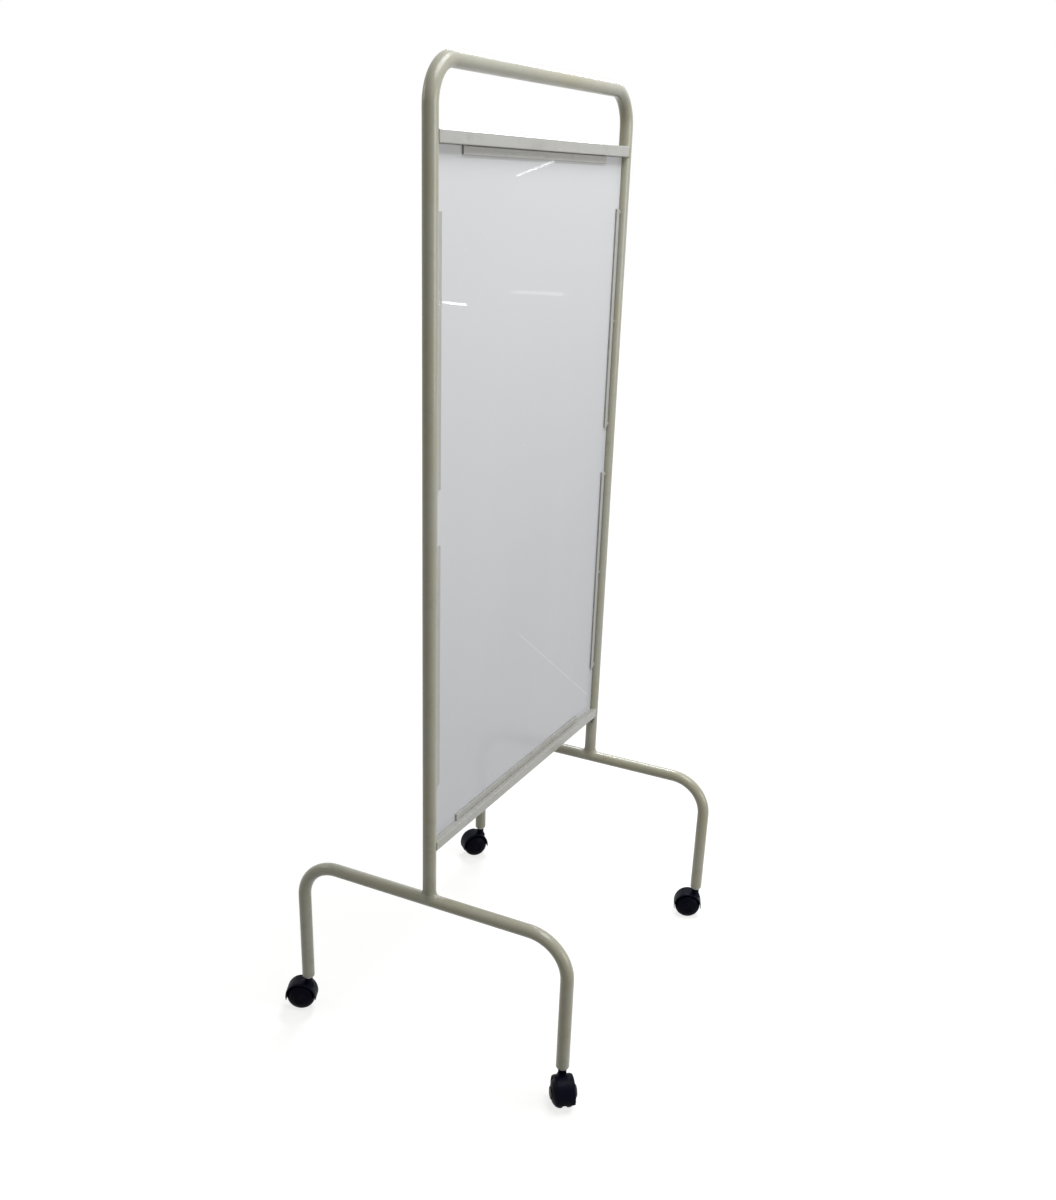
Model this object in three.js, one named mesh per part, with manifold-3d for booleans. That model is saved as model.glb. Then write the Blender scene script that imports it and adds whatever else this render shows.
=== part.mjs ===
// A rolling partition: one bent-tube hoop on two bent-tube feet, a rigid white panel held between two
// crossbars, and four twin-wheel swivel casters. Millimetres, +Z up. The front of the panel faces -Y, the
// left upright is at -X, and the wheels stand on z = 0. The origin is the centre of the footprint's box.

import * as THREE from 'three';
import { mergeVertices } from 'three/addons/utils/BufferGeometryUtils.js';
import Module from 'manifold-3d';

const wasm = await Module();
wasm.setup();

// ---------------------------------------------------------------- driving dimensions

// Running gap between two solids that touch on the real object.
const GAP = 0.3;

// Round tube of the hoop and the feet.
const TUBE_RADIUS = 12.7;
const TUBE_WALL = 1.5;
const TUBE_SIDES = 16;
const HOOP_BEND_RADIUS = 65;
const FOOT_BEND_RADIUS = 80;
const BEND_STEPS = 6;

// Main frame: upright axes, top run axis, foot tube axis, and the leg axes of one foot.
const UPRIGHT_SPACING = 735;
const HOOP_TOP_Z = 1759;
const FOOT_TUBE_Z = 349;
const LEG_SPACING = 582;
const HOOP_END_LIFT = 5;

// Rectangular tube of the two crossbars, and how far they stand from the hoop's top and from the feet.
const BAR_HEIGHT = 19;
const BAR_DEPTH = 25.4;
const BAR_WALL = 1.2;
const BAR_CORNER = 2;
const BAR_COPE_DEPTH = 6.4;
const UPPER_BAR_DROP = 105;
const LOWER_BAR_RISE = 115;

// Panel sheet.
const PANEL_THICKNESS = 3;
const PANEL_CORNER = 2;

// Flat strips tacked to the frame in front of the panel.
const STRIP_WIDTH = 12.7;
const STRIP_THICKNESS = 3.2;
const SIDE_STRIP_SETOFF = 4;
const BAR_STRIP_SETOFF = 0.9;
const BAR_STRIP_LENGTH = 546;
const UPPER_SIDE_STRIP_LENGTH = 426;
const UPPER_SIDE_STRIP_DROP = 93.5;
const SIDE_STRIP_SPACING = 95;
const LOWER_SIDE_STRIP_RISE = 106.5;
const TACK_LENGTH = 7;
const TACK_PROUD = 0.9;
const TACK_END_INSET = 6;

// Angle beads screwed to the frame behind the panel.
const BEAD_LEG = 12.7;
const BEAD_FLANGE = 9;
const BEAD_WALL = 1.2;
const BEAD_END_INSET = 16;
const BEAD_SCREW_INSET = 90;

// Self-tapping screws of the beads.
const SCREW_RADIUS = 1.6;
const SCREW_LENGTH = 9;
const SCREW_POINT_LENGTH = 1.6;
const SCREW_HEAD_RADIUS = 3.4;
const SCREW_CROWN_RADIUS = 2.4;
const SCREW_HEAD_HEIGHT = 1.8;
const SCREW_RIM_HEIGHT = 0.9;
const SCREW_SIDES = 10;

// Caster wheels and axle.
const WHEEL_RADIUS = 29;
const WHEEL_BORE_DEPTH = 15;
const WHEEL_INNER_CHAMFER = 2;
const WHEEL_SIDES = 20;
const CASTER_HALF_WIDTH = 25;
const CASTER_TRAIL = 16;
const AXLE_RADIUS = 3;

// Domed wheel face from the tread to its crown: [radius short of the tread's, distance in from the face].
const WHEEL_FACE = [[0, 16], [1.2, 12], [4, 8], [9.5, 4], [18, 1], [24, 0]];

// Caster hood, web and stem boss, in one moulding.
const HOOD_WALL = 3;
const HOOD_CROWN = 2.5;
const HOOD_WHEEL_GAP = 1.4;
const HOOD_SIDE_INSET = 6.5;
const HOOD_SHOULDER_WIDTH = 5;
const HOOD_SHOULDER_DROP = 1;
const HOOD_SIDES = 24;
const HOOD_REAR_EDGE = THREE.MathUtils.degToRad(-14);
const HOOD_STEM_EDGE = THREE.MathUtils.degToRad(188);
const WEB_HALF_WIDTH = 4;
const WEB_INSET = 0.5;
const HUB_BOSS_RADIUS = 8;
const STEM_BOSS_WALL = 3.1;

// Caster stem with its grip ring, and the socket in the leg's end.
const LEG_LIFT = 13.5;
const STEM_RADIUS = 5;
const STEM_SEAT = 2;
const STEM_END = 4;
const STEM_CHAMFER = 1.5;
const RING_DROP = 6;
const RING_HEIGHT = 2;
const RING_WALL = 0.9;
const SOCKET_CLEARANCE = 0.4;
const SOCKET_DEPTH = 32;
const SOCKET_RIM_HEIGHT = 1.8;
const SOCKET_RIM_TAPER = 0.9;
const SOCKET_COLLAR_WALL = 2.9;
const SOCKET_COLLAR_LENGTH = 5.5;
const PIN_SIDES = 12;

// Where each caster's wheels trail at rest, in degrees from +X.
const CASTER_YAWS = { left_front: 217, left_back: 115, right_front: 111, right_back: 137 };

// ---------------------------------------------------------------- materials

const finish = (color, roughness, metalness) => () =>
  new THREE.MeshStandardMaterial({ color, roughness, metalness });
const paint = finish(0xb9b8ac, 0.42, 0.1);
const sheet = finish(0xdcdee2, 0.12, 0.0);
const zinc = finish(0xb4b6b8, 0.35, 0.9);
const steel = finish(0xa6a8aa, 0.3, 0.95);
const greyPlastic = finish(0x8c8e94, 0.5, 0.0);
const blackPlastic = finish(0x0d0e14, 0.38, 0.0);

// ---------------------------------------------------------------- helpers

/** A closed solid of a geometry, with its shared corners merged. */
function solid(geometry) {
  const bare = geometry.clone();
  bare.deleteAttribute('normal');
  bare.deleteAttribute('uv');
  const merged = mergeVertices(bare, 1e-4);
  const corners = merged.index.array;
  const kept = [];
  for (let i = 0; i < corners.length; i += 3) {
    const [a, b, c] = corners.slice(i, i + 3);
    if (a !== b && b !== c && c !== a) kept.push(a, b, c);
  }
  const vertProperties = new Float32Array(merged.attributes.position.array);
  return new wasm.Manifold(new wasm.Mesh({ numProp: 3, vertProperties, triVerts: new Uint32Array(kept) }));
}

/** The geometry of a solid. */
function geometryOf(body) {
  const mesh = body.getMesh();
  const geometry = new THREE.BufferGeometry();
  geometry.setAttribute('position', new THREE.BufferAttribute(new Float32Array(mesh.vertProperties), 3));
  geometry.setIndex(new THREE.BufferAttribute(new Uint32Array(mesh.triVerts), 1));
  geometry.computeVertexNormals();
  return geometry;
}

/** A named mesh. */
function piece(name, geometry, material) {
  const mesh = new THREE.Mesh(geometry, material());
  mesh.name = name;
  return mesh;
}

/** A solid cylinder about Z, from one height to another. */
function postZ(radius, z0, z1, sides) {
  return new THREE.CylinderGeometry(radius, radius, z1 - z0, sides)
    .rotateX(Math.PI / 2)
    .translate(0, 0, (z0 + z1) / 2);
}

/** A solid cylinder about X, from one place to another. */
function postX(radius, x0, x1, sides) {
  return new THREE.CylinderGeometry(radius, radius, x1 - x0, sides)
    .rotateZ(Math.PI / 2)
    .translate((x0 + x1) / 2, 0, 0);
}

/** A solid cylinder about Y, centred on y = 0. */
function postY(radius, length, sides) {
  return new THREE.CylinderGeometry(radius, radius, length, sides);
}

/** A round profile of [radius, height] points turned about Z. */
function turned(profile, sides, start = 0) {
  const points = profile.map(([r, z]) => new THREE.Vector2(r, z));
  return new THREE.LatheGeometry(points, sides, start).rotateX(Math.PI / 2);
}

/** A rectangle with round corners, centred on the origin. */
function roundedRect(width, height, corner, Outline = THREE.Shape) {
  const x = width / 2 - corner;
  const y = height / 2 - corner;
  const quarter = Math.PI / 2;
  const outline = new Outline();
  outline.absarc(x, y, corner, 0, quarter);
  outline.absarc(-x, y, corner, quarter, 2 * quarter);
  outline.absarc(-x, -y, corner, 2 * quarter, 3 * quarter);
  outline.absarc(x, -y, corner, 3 * quarter, 4 * quarter);
  outline.closePath();
  return outline;
}

/** A centre line of straight runs joined by round bends, with stations only where the line turns. */
class BentLine extends THREE.Curve {
  constructor(corners, bendRadius) {
    super();
    this.points = [];
    this.tangents = [];
    const last = corners.length - 1;
    const heading = corners.slice(1).map((corner, i) => corner.clone().sub(corners[i]).normalize());
    this.addStation(corners[0], heading[0]);
    for (let i = 1; i < last; i += 1) this.addBend(corners[i], heading[i - 1], heading[i], bendRadius);
    this.addStation(corners[last], heading[last - 1]);
  }

  addStation(point, tangent) {
    this.points.push(point.clone());
    this.tangents.push(tangent.clone());
  }

  addBend(corner, into, out, radius) {
    const turn = into.angleTo(out);
    const setback = radius * Math.tan(turn / 2);
    const start = corner.clone().addScaledVector(into, -setback);
    const inward = out.clone().addScaledVector(into, -out.dot(into)).normalize();
    for (let step = 0; step <= BEND_STEPS; step += 1) {
      const angle = (turn * step) / BEND_STEPS;
      const point = start.clone()
        .addScaledVector(into, radius * Math.sin(angle))
        .addScaledVector(inward, radius * (1 - Math.cos(angle)));
      const tangent = into.clone().multiplyScalar(Math.cos(angle)).addScaledVector(inward, Math.sin(angle));
      this.addStation(point, tangent);
    }
  }

  get steps() {
    return this.points.length - 1;
  }

  getPointAt(u) {
    return this.points[Math.round(u * this.steps)].clone();
  }

  getTangentAt(u) {
    return this.tangents[Math.round(u * this.steps)].clone();
  }
}

/** A hollow round tube along a bent line. */
function bentTube(line) {
  const section = new THREE.Shape().absarc(0, 0, TUBE_RADIUS, 0, 2 * Math.PI);
  section.holes.push(new THREE.Path().absarc(0, 0, TUBE_RADIUS - TUBE_WALL, 0, 2 * Math.PI, true));
  return new THREE.ExtrudeGeometry(section, {
    steps: line.steps,
    curveSegments: TUBE_SIDES / 2,
    extrudePath: line,
  });
}

// ---------------------------------------------------------------- places that several pieces share

const UPRIGHT_X = UPRIGHT_SPACING / 2;
const LEG_Y = LEG_SPACING / 2;
const BAY_HALF_WIDTH = UPRIGHT_X - TUBE_RADIUS;
const UPPER_BAR_Z = HOOP_TOP_Z - UPPER_BAR_DROP;
const LOWER_BAR_Z = FOOT_TUBE_Z + LOWER_BAR_RISE;
const BAY_TOP_Z = UPPER_BAR_Z - BAR_HEIGHT / 2;
const BAY_BOTTOM_Z = LOWER_BAR_Z + BAR_HEIGHT / 2;
const STRIP_BACK_Y = 0;
const PANEL_FRONT_Y = STRIP_BACK_Y + GAP;
const PANEL_BACK_Y = PANEL_FRONT_Y + PANEL_THICKNESS;
const BEAD_FRONT_Y = PANEL_BACK_Y + GAP;
const LOWER_SIDE_STRIP_LENGTH = BAY_TOP_Z - BAY_BOTTOM_Z - UPPER_SIDE_STRIP_DROP - UPPER_SIDE_STRIP_LENGTH
  - SIDE_STRIP_SPACING - LOWER_SIDE_STRIP_RISE;
const SCREW_Y = BEAD_FRONT_Y + BEAD_WALL + (BEAD_FLANGE - BEAD_WALL) / 2;
const HOOD_RADIUS = WHEEL_RADIUS + HOOD_WALL;
const HOOD_INNER_RADIUS = WHEEL_RADIUS + HOOD_WHEEL_GAP;
const HOOD_HALF_WIDTH = CASTER_HALF_WIDTH - HOOD_SIDE_INSET;
const LEG_END_Z = WHEEL_RADIUS + HOOD_RADIUS + HOOD_CROWN + LEG_LIFT;
const SOCKET_TOP_Z = LEG_END_Z + SOCKET_DEPTH;
const COLLAR_END_Z = LEG_END_Z - SOCKET_COLLAR_LENGTH;
const RING_Z = SOCKET_TOP_Z - RING_DROP;
const SIDES = { left: -1, right: 1 };
const ENDS = { front: -1, back: 1 };

/** The room that an upright takes, with the gap that its neighbours keep. */
function uprightRoom(sign) {
  return solid(postZ(TUBE_RADIUS + GAP, 0, HOOP_TOP_Z, TUBE_SIDES * 2).translate(sign * UPRIGHT_X, 0, 0));
}

/** Height of the stem's lower end, on the hood's material above the wheels. */
function stemBottom() {
  return STEM_SEAT + WHEEL_RADIUS + Math.sqrt(HOOD_INNER_RADIUS ** 2 - (CASTER_TRAIL - STEM_RADIUS) ** 2);
}

/** Heights of the screws that hold a side bead. */
function sideScrewHeights() {
  const low = BAY_BOTTOM_Z + BEAD_SCREW_INSET;
  const high = BAY_TOP_Z - BEAD_SCREW_INSET;
  return { upper: high, middle: (low + high) / 2, lower: low };
}

/** Places along X of the screws that hold a crossbar's bead. */
function barScrewPlaces() {
  const reach = BAY_HALF_WIDTH - BEAD_SCREW_INSET;
  return { left: -reach, right: reach };
}

// ---------------------------------------------------------------- frame

/** The hoop: two uprights and the top run in one bent tube, coped on the foot tubes. */
function hoopTube() {
  const low = FOOT_TUBE_Z + HOOP_END_LIFT;
  const line = new BentLine([
    new THREE.Vector3(-UPRIGHT_X, 0, low),
    new THREE.Vector3(-UPRIGHT_X, 0, HOOP_TOP_Z),
    new THREE.Vector3(UPRIGHT_X, 0, HOOP_TOP_Z),
    new THREE.Vector3(UPRIGHT_X, 0, low),
  ], HOOP_BEND_RADIUS);
  let body = solid(bentTube(line));
  const footRoom = postY(TUBE_RADIUS + GAP, 4 * TUBE_RADIUS, TUBE_SIDES * 2);
  for (const sign of Object.values(SIDES)) {
    body = body.subtract(solid(footRoom.clone().translate(sign * UPRIGHT_X, 0, FOOT_TUBE_Z)));
    for (const z of Object.values(sideScrewHeights())) {
      const reach = [sign * (UPRIGHT_X - 2 * TUBE_RADIUS), sign * UPRIGHT_X].sort((a, b) => a - b);
      body = body.subtract(solid(postX(SCREW_RADIUS + GAP, ...reach, SCREW_SIDES).translate(0, SCREW_Y, z)));
    }
  }
  return piece('hoop_tube', geometryOf(body), paint);
}

/** A foot: one bent tube with a leg down at each end. */
function footTube(side) {
  const x = SIDES[side] * UPRIGHT_X;
  const line = new BentLine([
    new THREE.Vector3(x, -LEG_Y, LEG_END_Z),
    new THREE.Vector3(x, -LEG_Y, FOOT_TUBE_Z),
    new THREE.Vector3(x, LEG_Y, FOOT_TUBE_Z),
    new THREE.Vector3(x, LEG_Y, LEG_END_Z),
  ], FOOT_BEND_RADIUS);
  return piece(`${side}_foot_tube`, bentTube(line), paint);
}

/** A crossbar: rectangular tube coped to the uprights, with holes for the bead screws. */
function crossbar(name, z, screwSide) {
  const section = roundedRect(BAR_DEPTH, BAR_HEIGHT, BAR_CORNER);
  const bore = roundedRect(BAR_DEPTH - 2 * BAR_WALL, BAR_HEIGHT - 2 * BAR_WALL, BAR_CORNER / 2, THREE.Path);
  section.holes.push(bore);
  const halfLength = BAY_HALF_WIDTH + BAR_COPE_DEPTH;
  const bar = new THREE.ExtrudeGeometry(section, {
    depth: 2 * halfLength,
    bevelEnabled: false,
    curveSegments: 3,
  }).translate(0, 0, -halfLength)
    .rotateX(Math.PI / 2)
    .rotateZ(Math.PI / 2)
    .translate(0, 0, z);
  let body = solid(bar);
  for (const sign of Object.values(SIDES)) body = body.subtract(uprightRoom(sign));
  for (const x of Object.values(barScrewPlaces())) {
    const [z0, z1] = screwSide > 0 ? [z, z + BAR_HEIGHT] : [z - BAR_HEIGHT, z];
    body = body.subtract(solid(postZ(SCREW_RADIUS + GAP, z0, z1, SCREW_SIDES).translate(x, SCREW_Y, 0)));
  }
  return piece(name, geometryOf(body), paint);
}

// ---------------------------------------------------------------- panel and its strips

/** The rigid sheet between the uprights and the crossbars. */
function panelSheet() {
  const width = 2 * (BAY_HALF_WIDTH - GAP);
  const height = BAY_TOP_Z - BAY_BOTTOM_Z - 2 * GAP;
  const outline = roundedRect(width, height, PANEL_CORNER);
  const sheetSolid = new THREE.ExtrudeGeometry(outline, {
    depth: PANEL_THICKNESS,
    bevelEnabled: false,
    curveSegments: 2,
  }).rotateX(Math.PI / 2).translate(0, PANEL_BACK_Y, (BAY_TOP_Z + BAY_BOTTOM_Z) / 2);
  return piece('panel_sheet', sheetSolid, sheet);
}

/** A front strip lying along X with its frame edge at z = 0, three tacks on that edge, body below it. */
function stripWithTacks(length, setoff) {
  const flat = new THREE.BoxGeometry(length, STRIP_THICKNESS, STRIP_WIDTH)
    .translate(0, STRIP_BACK_Y - STRIP_THICKNESS / 2, -setoff - STRIP_WIDTH / 2);
  let body = solid(flat);
  const reach = length / 2 - TACK_END_INSET;
  for (const x of [-reach, 0, reach]) {
    const tack = new THREE.SphereGeometry(1, 8, 6)
      .rotateX(Math.PI / 2)
      .scale(TACK_LENGTH / 2, STRIP_THICKNESS / 2 + TACK_PROUD, setoff + STRIP_THICKNESS)
      .translate(x, STRIP_BACK_Y - STRIP_THICKNESS / 2 - TACK_PROUD, -setoff);
    body = body.add(solid(tack));
  }
  const frameRoom = new THREE.BoxGeometry(length, 4 * TUBE_RADIUS, 4 * TUBE_RADIUS)
    .translate(0, 0, 2 * TUBE_RADIUS - GAP);
  return body.subtract(solid(frameRoom));
}

/** A strip under the upper crossbar or on the lower one. */
function barStrip(name, z, up) {
  const geometry = geometryOf(stripWithTacks(BAR_STRIP_LENGTH, BAR_STRIP_SETOFF));
  if (up) geometry.applyMatrix4(new THREE.Matrix4().makeRotationY(Math.PI));
  return piece(name, geometry.translate(0, 0, z), paint);
}

/** A strip beside an upright, its middle at a height. */
function sideStrip(side, place, middleZ, length) {
  const sign = SIDES[side];
  const geometry = geometryOf(stripWithTacks(length, SIDE_STRIP_SETOFF))
    .rotateY(sign * Math.PI / 2)
    .translate(sign * BAY_HALF_WIDTH, 0, middleZ);
  return piece(`${side}_${place}_front_strip`, geometry, paint);
}

/** An angle bead along X behind the panel, its flange at z = 0 against the frame, its leg hanging down. */
function beadGeometry(length, screws) {
  const outline = new THREE.Shape([
    new THREE.Vector2(0, 0),
    new THREE.Vector2(BEAD_FLANGE, 0),
    new THREE.Vector2(BEAD_FLANGE, -BEAD_WALL),
    new THREE.Vector2(BEAD_WALL, -BEAD_WALL),
    new THREE.Vector2(BEAD_WALL, -BEAD_LEG),
    new THREE.Vector2(0, -BEAD_LEG),
  ].reverse());
  const angle = new THREE.ExtrudeGeometry(outline, { depth: length, bevelEnabled: false })
    .translate(0, 0, -length / 2)
    .rotateX(Math.PI / 2)
    .rotateZ(Math.PI / 2)
    .translate(0, BEAD_FRONT_Y, -GAP);
  let body = solid(angle);
  for (const x of screws) {
    const hole = postZ(SCREW_RADIUS + GAP, -2 * BEAD_WALL, BEAD_WALL, SCREW_SIDES).translate(x, SCREW_Y, 0);
    body = body.subtract(solid(hole));
  }
  return geometryOf(body);
}

/** The bead under the upper crossbar or on the lower one. */
function barBead(name, z, up) {
  const geometry = beadGeometry(2 * (BAY_HALF_WIDTH - BEAD_END_INSET), Object.values(barScrewPlaces()));
  if (up) geometry.rotateY(Math.PI);
  return piece(name, geometry.translate(0, 0, z), paint);
}

/** The bead beside an upright. */
function sideBead(side) {
  const middle = (BAY_TOP_Z + BAY_BOTTOM_Z) / 2;
  const height = BAY_TOP_Z - BAY_BOTTOM_Z - 2 * BEAD_END_INSET;
  const screws = Object.values(sideScrewHeights()).map((z) => z - middle);
  const geometry = beadGeometry(height, screws)
    .rotateY(SIDES[side] * Math.PI / 2)
    .translate(SIDES[side] * BAY_HALF_WIDTH, 0, middle);
  return piece(`${side}_rear_bead`, geometry, paint);
}

/** A pan-head screw pointing up, the underside of its head at z = 0. */
function screwGeometry() {
  return turned([
    [0, -SCREW_HEAD_HEIGHT],
    [SCREW_CROWN_RADIUS, -SCREW_HEAD_HEIGHT],
    [SCREW_HEAD_RADIUS, -SCREW_RIM_HEIGHT],
    [SCREW_HEAD_RADIUS, 0],
    [SCREW_RADIUS, 0],
    [SCREW_RADIUS, SCREW_LENGTH - SCREW_POINT_LENGTH],
    [0, SCREW_LENGTH],
  ], SCREW_SIDES);
}

/** All the bead screws, each seated on its bead's flange. */
function beadScrews() {
  const seat = BEAD_WALL + 2 * GAP;
  const screws = [];
  for (const [place, x] of Object.entries(barScrewPlaces())) {
    const upward = screwGeometry().translate(x, SCREW_Y, BAY_TOP_Z - seat);
    const downward = screwGeometry().rotateX(Math.PI).translate(x, SCREW_Y, BAY_BOTTOM_Z + seat);
    screws.push(piece(`upper_bead_screw_${place}`, upward, zinc));
    screws.push(piece(`lower_bead_screw_${place}`, downward, zinc));
  }
  for (const [side, sign] of Object.entries(SIDES)) {
    for (const [place, z] of Object.entries(sideScrewHeights())) {
      const outward = screwGeometry()
        .rotateY(sign * Math.PI / 2)
        .translate(sign * (BAY_HALF_WIDTH - seat), SCREW_Y, z);
      screws.push(piece(`${side}_bead_screw_${place}`, outward, zinc));
    }
  }
  return screws;
}

// ---------------------------------------------------------------- casters

/** The sleeve in a leg's end that takes the stem: a rim under the tube and a collar below it. */
function legSocket(name) {
  const bore = STEM_RADIUS + SOCKET_CLEARANCE;
  const collar = bore + SOCKET_COLLAR_WALL;
  const sleeve = TUBE_RADIUS - TUBE_WALL - GAP;
  const rim = TUBE_RADIUS - GAP;
  const rimTop = LEG_END_Z - GAP;
  const rimBottom = rimTop - SOCKET_RIM_HEIGHT;
  return piece(name, turned([
    [bore, COLLAR_END_Z],
    [collar, COLLAR_END_Z],
    [collar, rimBottom],
    [rim - SOCKET_RIM_TAPER, rimBottom],
    [rim, rimTop],
    [sleeve, rimTop],
    [sleeve, SOCKET_TOP_Z],
    [bore, SOCKET_TOP_Z],
    [bore, COLLAR_END_Z],
  ], TUBE_SIDES), greyPlastic);
}

/** The steel stem, with the groove for its grip ring near the top. */
function stem(name) {
  const groove = STEM_RADIUS + SOCKET_CLEARANCE - 2 * GAP - RING_WALL;
  const bottom = stemBottom();
  const top = SOCKET_TOP_Z + STEM_END;
  const low = RING_Z - RING_HEIGHT / 2 - GAP;
  const high = RING_Z + RING_HEIGHT / 2 + GAP;
  return piece(name, turned([
    [0, bottom],
    [STEM_RADIUS, bottom],
    [STEM_RADIUS, low],
    [groove, low],
    [groove, high],
    [STEM_RADIUS, high],
    [STEM_RADIUS, top - STEM_CHAMFER],
    [STEM_RADIUS - STEM_CHAMFER, top],
    [0, top],
  ], PIN_SIDES), steel);
}

/** The spring ring that grips the socket round the stem's groove. */
function gripRing(name) {
  const outer = STEM_RADIUS + SOCKET_CLEARANCE - GAP;
  const inner = outer - RING_WALL;
  const z0 = RING_Z - RING_HEIGHT / 2;
  const z1 = RING_Z + RING_HEIGHT / 2;
  const section = [[inner, z0], [outer, z0], [outer, z1], [inner, z1], [inner, z0]];
  return piece(name, turned(section, PIN_SIDES), steel);
}

/** The hood's outer form: a drum across the caster with soft shoulders, raised towards its crown. */
function hoodDrum() {
  const edge = HOOD_RADIUS - HOOD_SHOULDER_DROP;
  const flat = HOOD_HALF_WIDTH - HOOD_SHOULDER_WIDTH;
  const rise = (HOOD_RADIUS + HOOD_CROWN) / HOOD_RADIUS;
  return solid(new THREE.LatheGeometry([
    new THREE.Vector2(0, -HOOD_HALF_WIDTH),
    new THREE.Vector2(edge, -HOOD_HALF_WIDTH),
    new THREE.Vector2(HOOD_RADIUS, -flat),
    new THREE.Vector2(HOOD_RADIUS, flat),
    new THREE.Vector2(edge, HOOD_HALF_WIDTH),
    new THREE.Vector2(0, HOOD_HALF_WIDTH),
  ], HOOD_SIDES).scale(1, 1, rise).translate(CASTER_TRAIL, 0, WHEEL_RADIUS));
}

/** The space below the hood's two lower edges. */
function belowHood() {
  const reach = 2 * HOOD_RADIUS;
  const outline = new THREE.Shape([
    new THREE.Vector2(0, 0),
    new THREE.Vector2(reach * Math.cos(HOOD_STEM_EDGE), reach * Math.sin(HOOD_STEM_EDGE)),
    new THREE.Vector2(-reach, -reach),
    new THREE.Vector2(reach, -reach),
    new THREE.Vector2(reach * Math.cos(HOOD_REAR_EDGE), reach * Math.sin(HOOD_REAR_EDGE)),
  ]);
  return wheelPlaneSlab(outline, 2 * HOOD_HALF_WIDTH);
}

/** The web between the wheels, from the hood down round the axle, as an outline about the axle. */
function webOutline() {
  const outline = new THREE.Shape();
  outline.absarc(0, 0, HOOD_RADIUS - WEB_INSET, 0, Math.PI);
  outline.absarc(0, 0, HUB_BOSS_RADIUS, Math.PI, 2 * Math.PI);
  outline.closePath();
  return outline;
}

/** A slab of an outline in the plane of the wheels, centred across the caster. */
function wheelPlaneSlab(outline, halfWidth) {
  return solid(new THREE.ExtrudeGeometry(outline, {
    depth: 2 * halfWidth,
    bevelEnabled: false,
    curveSegments: HOOD_SIDES / 2,
  }).translate(0, 0, -halfWidth).rotateX(Math.PI / 2).translate(CASTER_TRAIL, 0, WHEEL_RADIUS));
}

/** The caster's black body: hood, web and stem boss in one moulding. */
function hood(name) {
  const bossTop = COLLAR_END_Z - GAP;
  const stemRoom = postZ(STEM_RADIUS + GAP, stemBottom() - GAP, 2 * bossTop, PIN_SIDES);
  const wheelRoom = postY(HOOD_INNER_RADIUS, 2 * CASTER_HALF_WIDTH, HOOD_SIDES)
    .translate(CASTER_TRAIL, 0, WHEEL_RADIUS);
  const axleRoom = postY(AXLE_RADIUS + GAP, 4 * WEB_HALF_WIDTH, PIN_SIDES)
    .translate(CASTER_TRAIL, 0, WHEEL_RADIUS);
  const body = hoodDrum()
    .subtract(belowHood())
    .add(solid(postZ(STEM_RADIUS + STEM_BOSS_WALL, WHEEL_RADIUS, bossTop, TUBE_SIDES)))
    .subtract(solid(wheelRoom))
    .add(wheelPlaneSlab(webOutline(), WEB_HALF_WIDTH))
    .subtract(solid(stemRoom))
    .subtract(solid(axleRoom));
  return piece(name, geometryOf(body), blackPlastic);
}

/** The steel axle through the web and into both wheels. */
function axle(name) {
  const halfLength = WEB_HALF_WIDTH + WHEEL_BORE_DEPTH;
  const pin = postY(AXLE_RADIUS, 2 * halfLength, PIN_SIDES).translate(CASTER_TRAIL, 0, WHEEL_RADIUS);
  return piece(name, pin, steel);
}

/** A wheel with a domed outer face and a blind bore, on the +Y side or the -Y side of the web. */
function wheel(name, sign) {
  const bore = AXLE_RADIUS + GAP;
  const inner = WEB_HALF_WIDTH + 2 * GAP;
  const boreEnd = WEB_HALF_WIDTH + WHEEL_BORE_DEPTH + GAP;
  const tread = WHEEL_RADIUS / Math.cos(Math.PI / WHEEL_SIDES);
  const profile = [
    [0, boreEnd],
    [bore, boreEnd],
    [bore, inner],
    [tread - WHEEL_INNER_CHAMFER, inner],
    [tread, inner + WHEEL_INNER_CHAMFER],
    ...WHEEL_FACE.map(([drop, depth]) => [tread - drop, CASTER_HALF_WIDTH - depth]),
    [0, CASTER_HALF_WIDTH],
  ];
  const shape = turned(profile, WHEEL_SIDES, Math.PI / WHEEL_SIDES)
    .rotateX(-sign * Math.PI / 2)
    .translate(CASTER_TRAIL, 0, WHEEL_RADIUS);
  return piece(name, shape, blackPlastic);
}

/** One caster under the end of a leg. */
function caster(side, end) {
  const prefix = `${side}_${end}`;
  const group = new THREE.Group();
  group.add(
    legSocket(`${prefix}_leg_socket`),
    gripRing(`${prefix}_grip_ring`),
    stem(`${prefix}_stem`),
    hood(`${prefix}_hood`),
    axle(`${prefix}_axle`),
    wheel(`${prefix}_wheel_a`, 1),
    wheel(`${prefix}_wheel_b`, -1),
  );
  group.position.set(SIDES[side] * UPRIGHT_X, ENDS[end] * LEG_Y, 0);
  group.rotation.z = THREE.MathUtils.degToRad(CASTER_YAWS[prefix]);
  return group;
}

// ---------------------------------------------------------------- assembly

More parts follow.
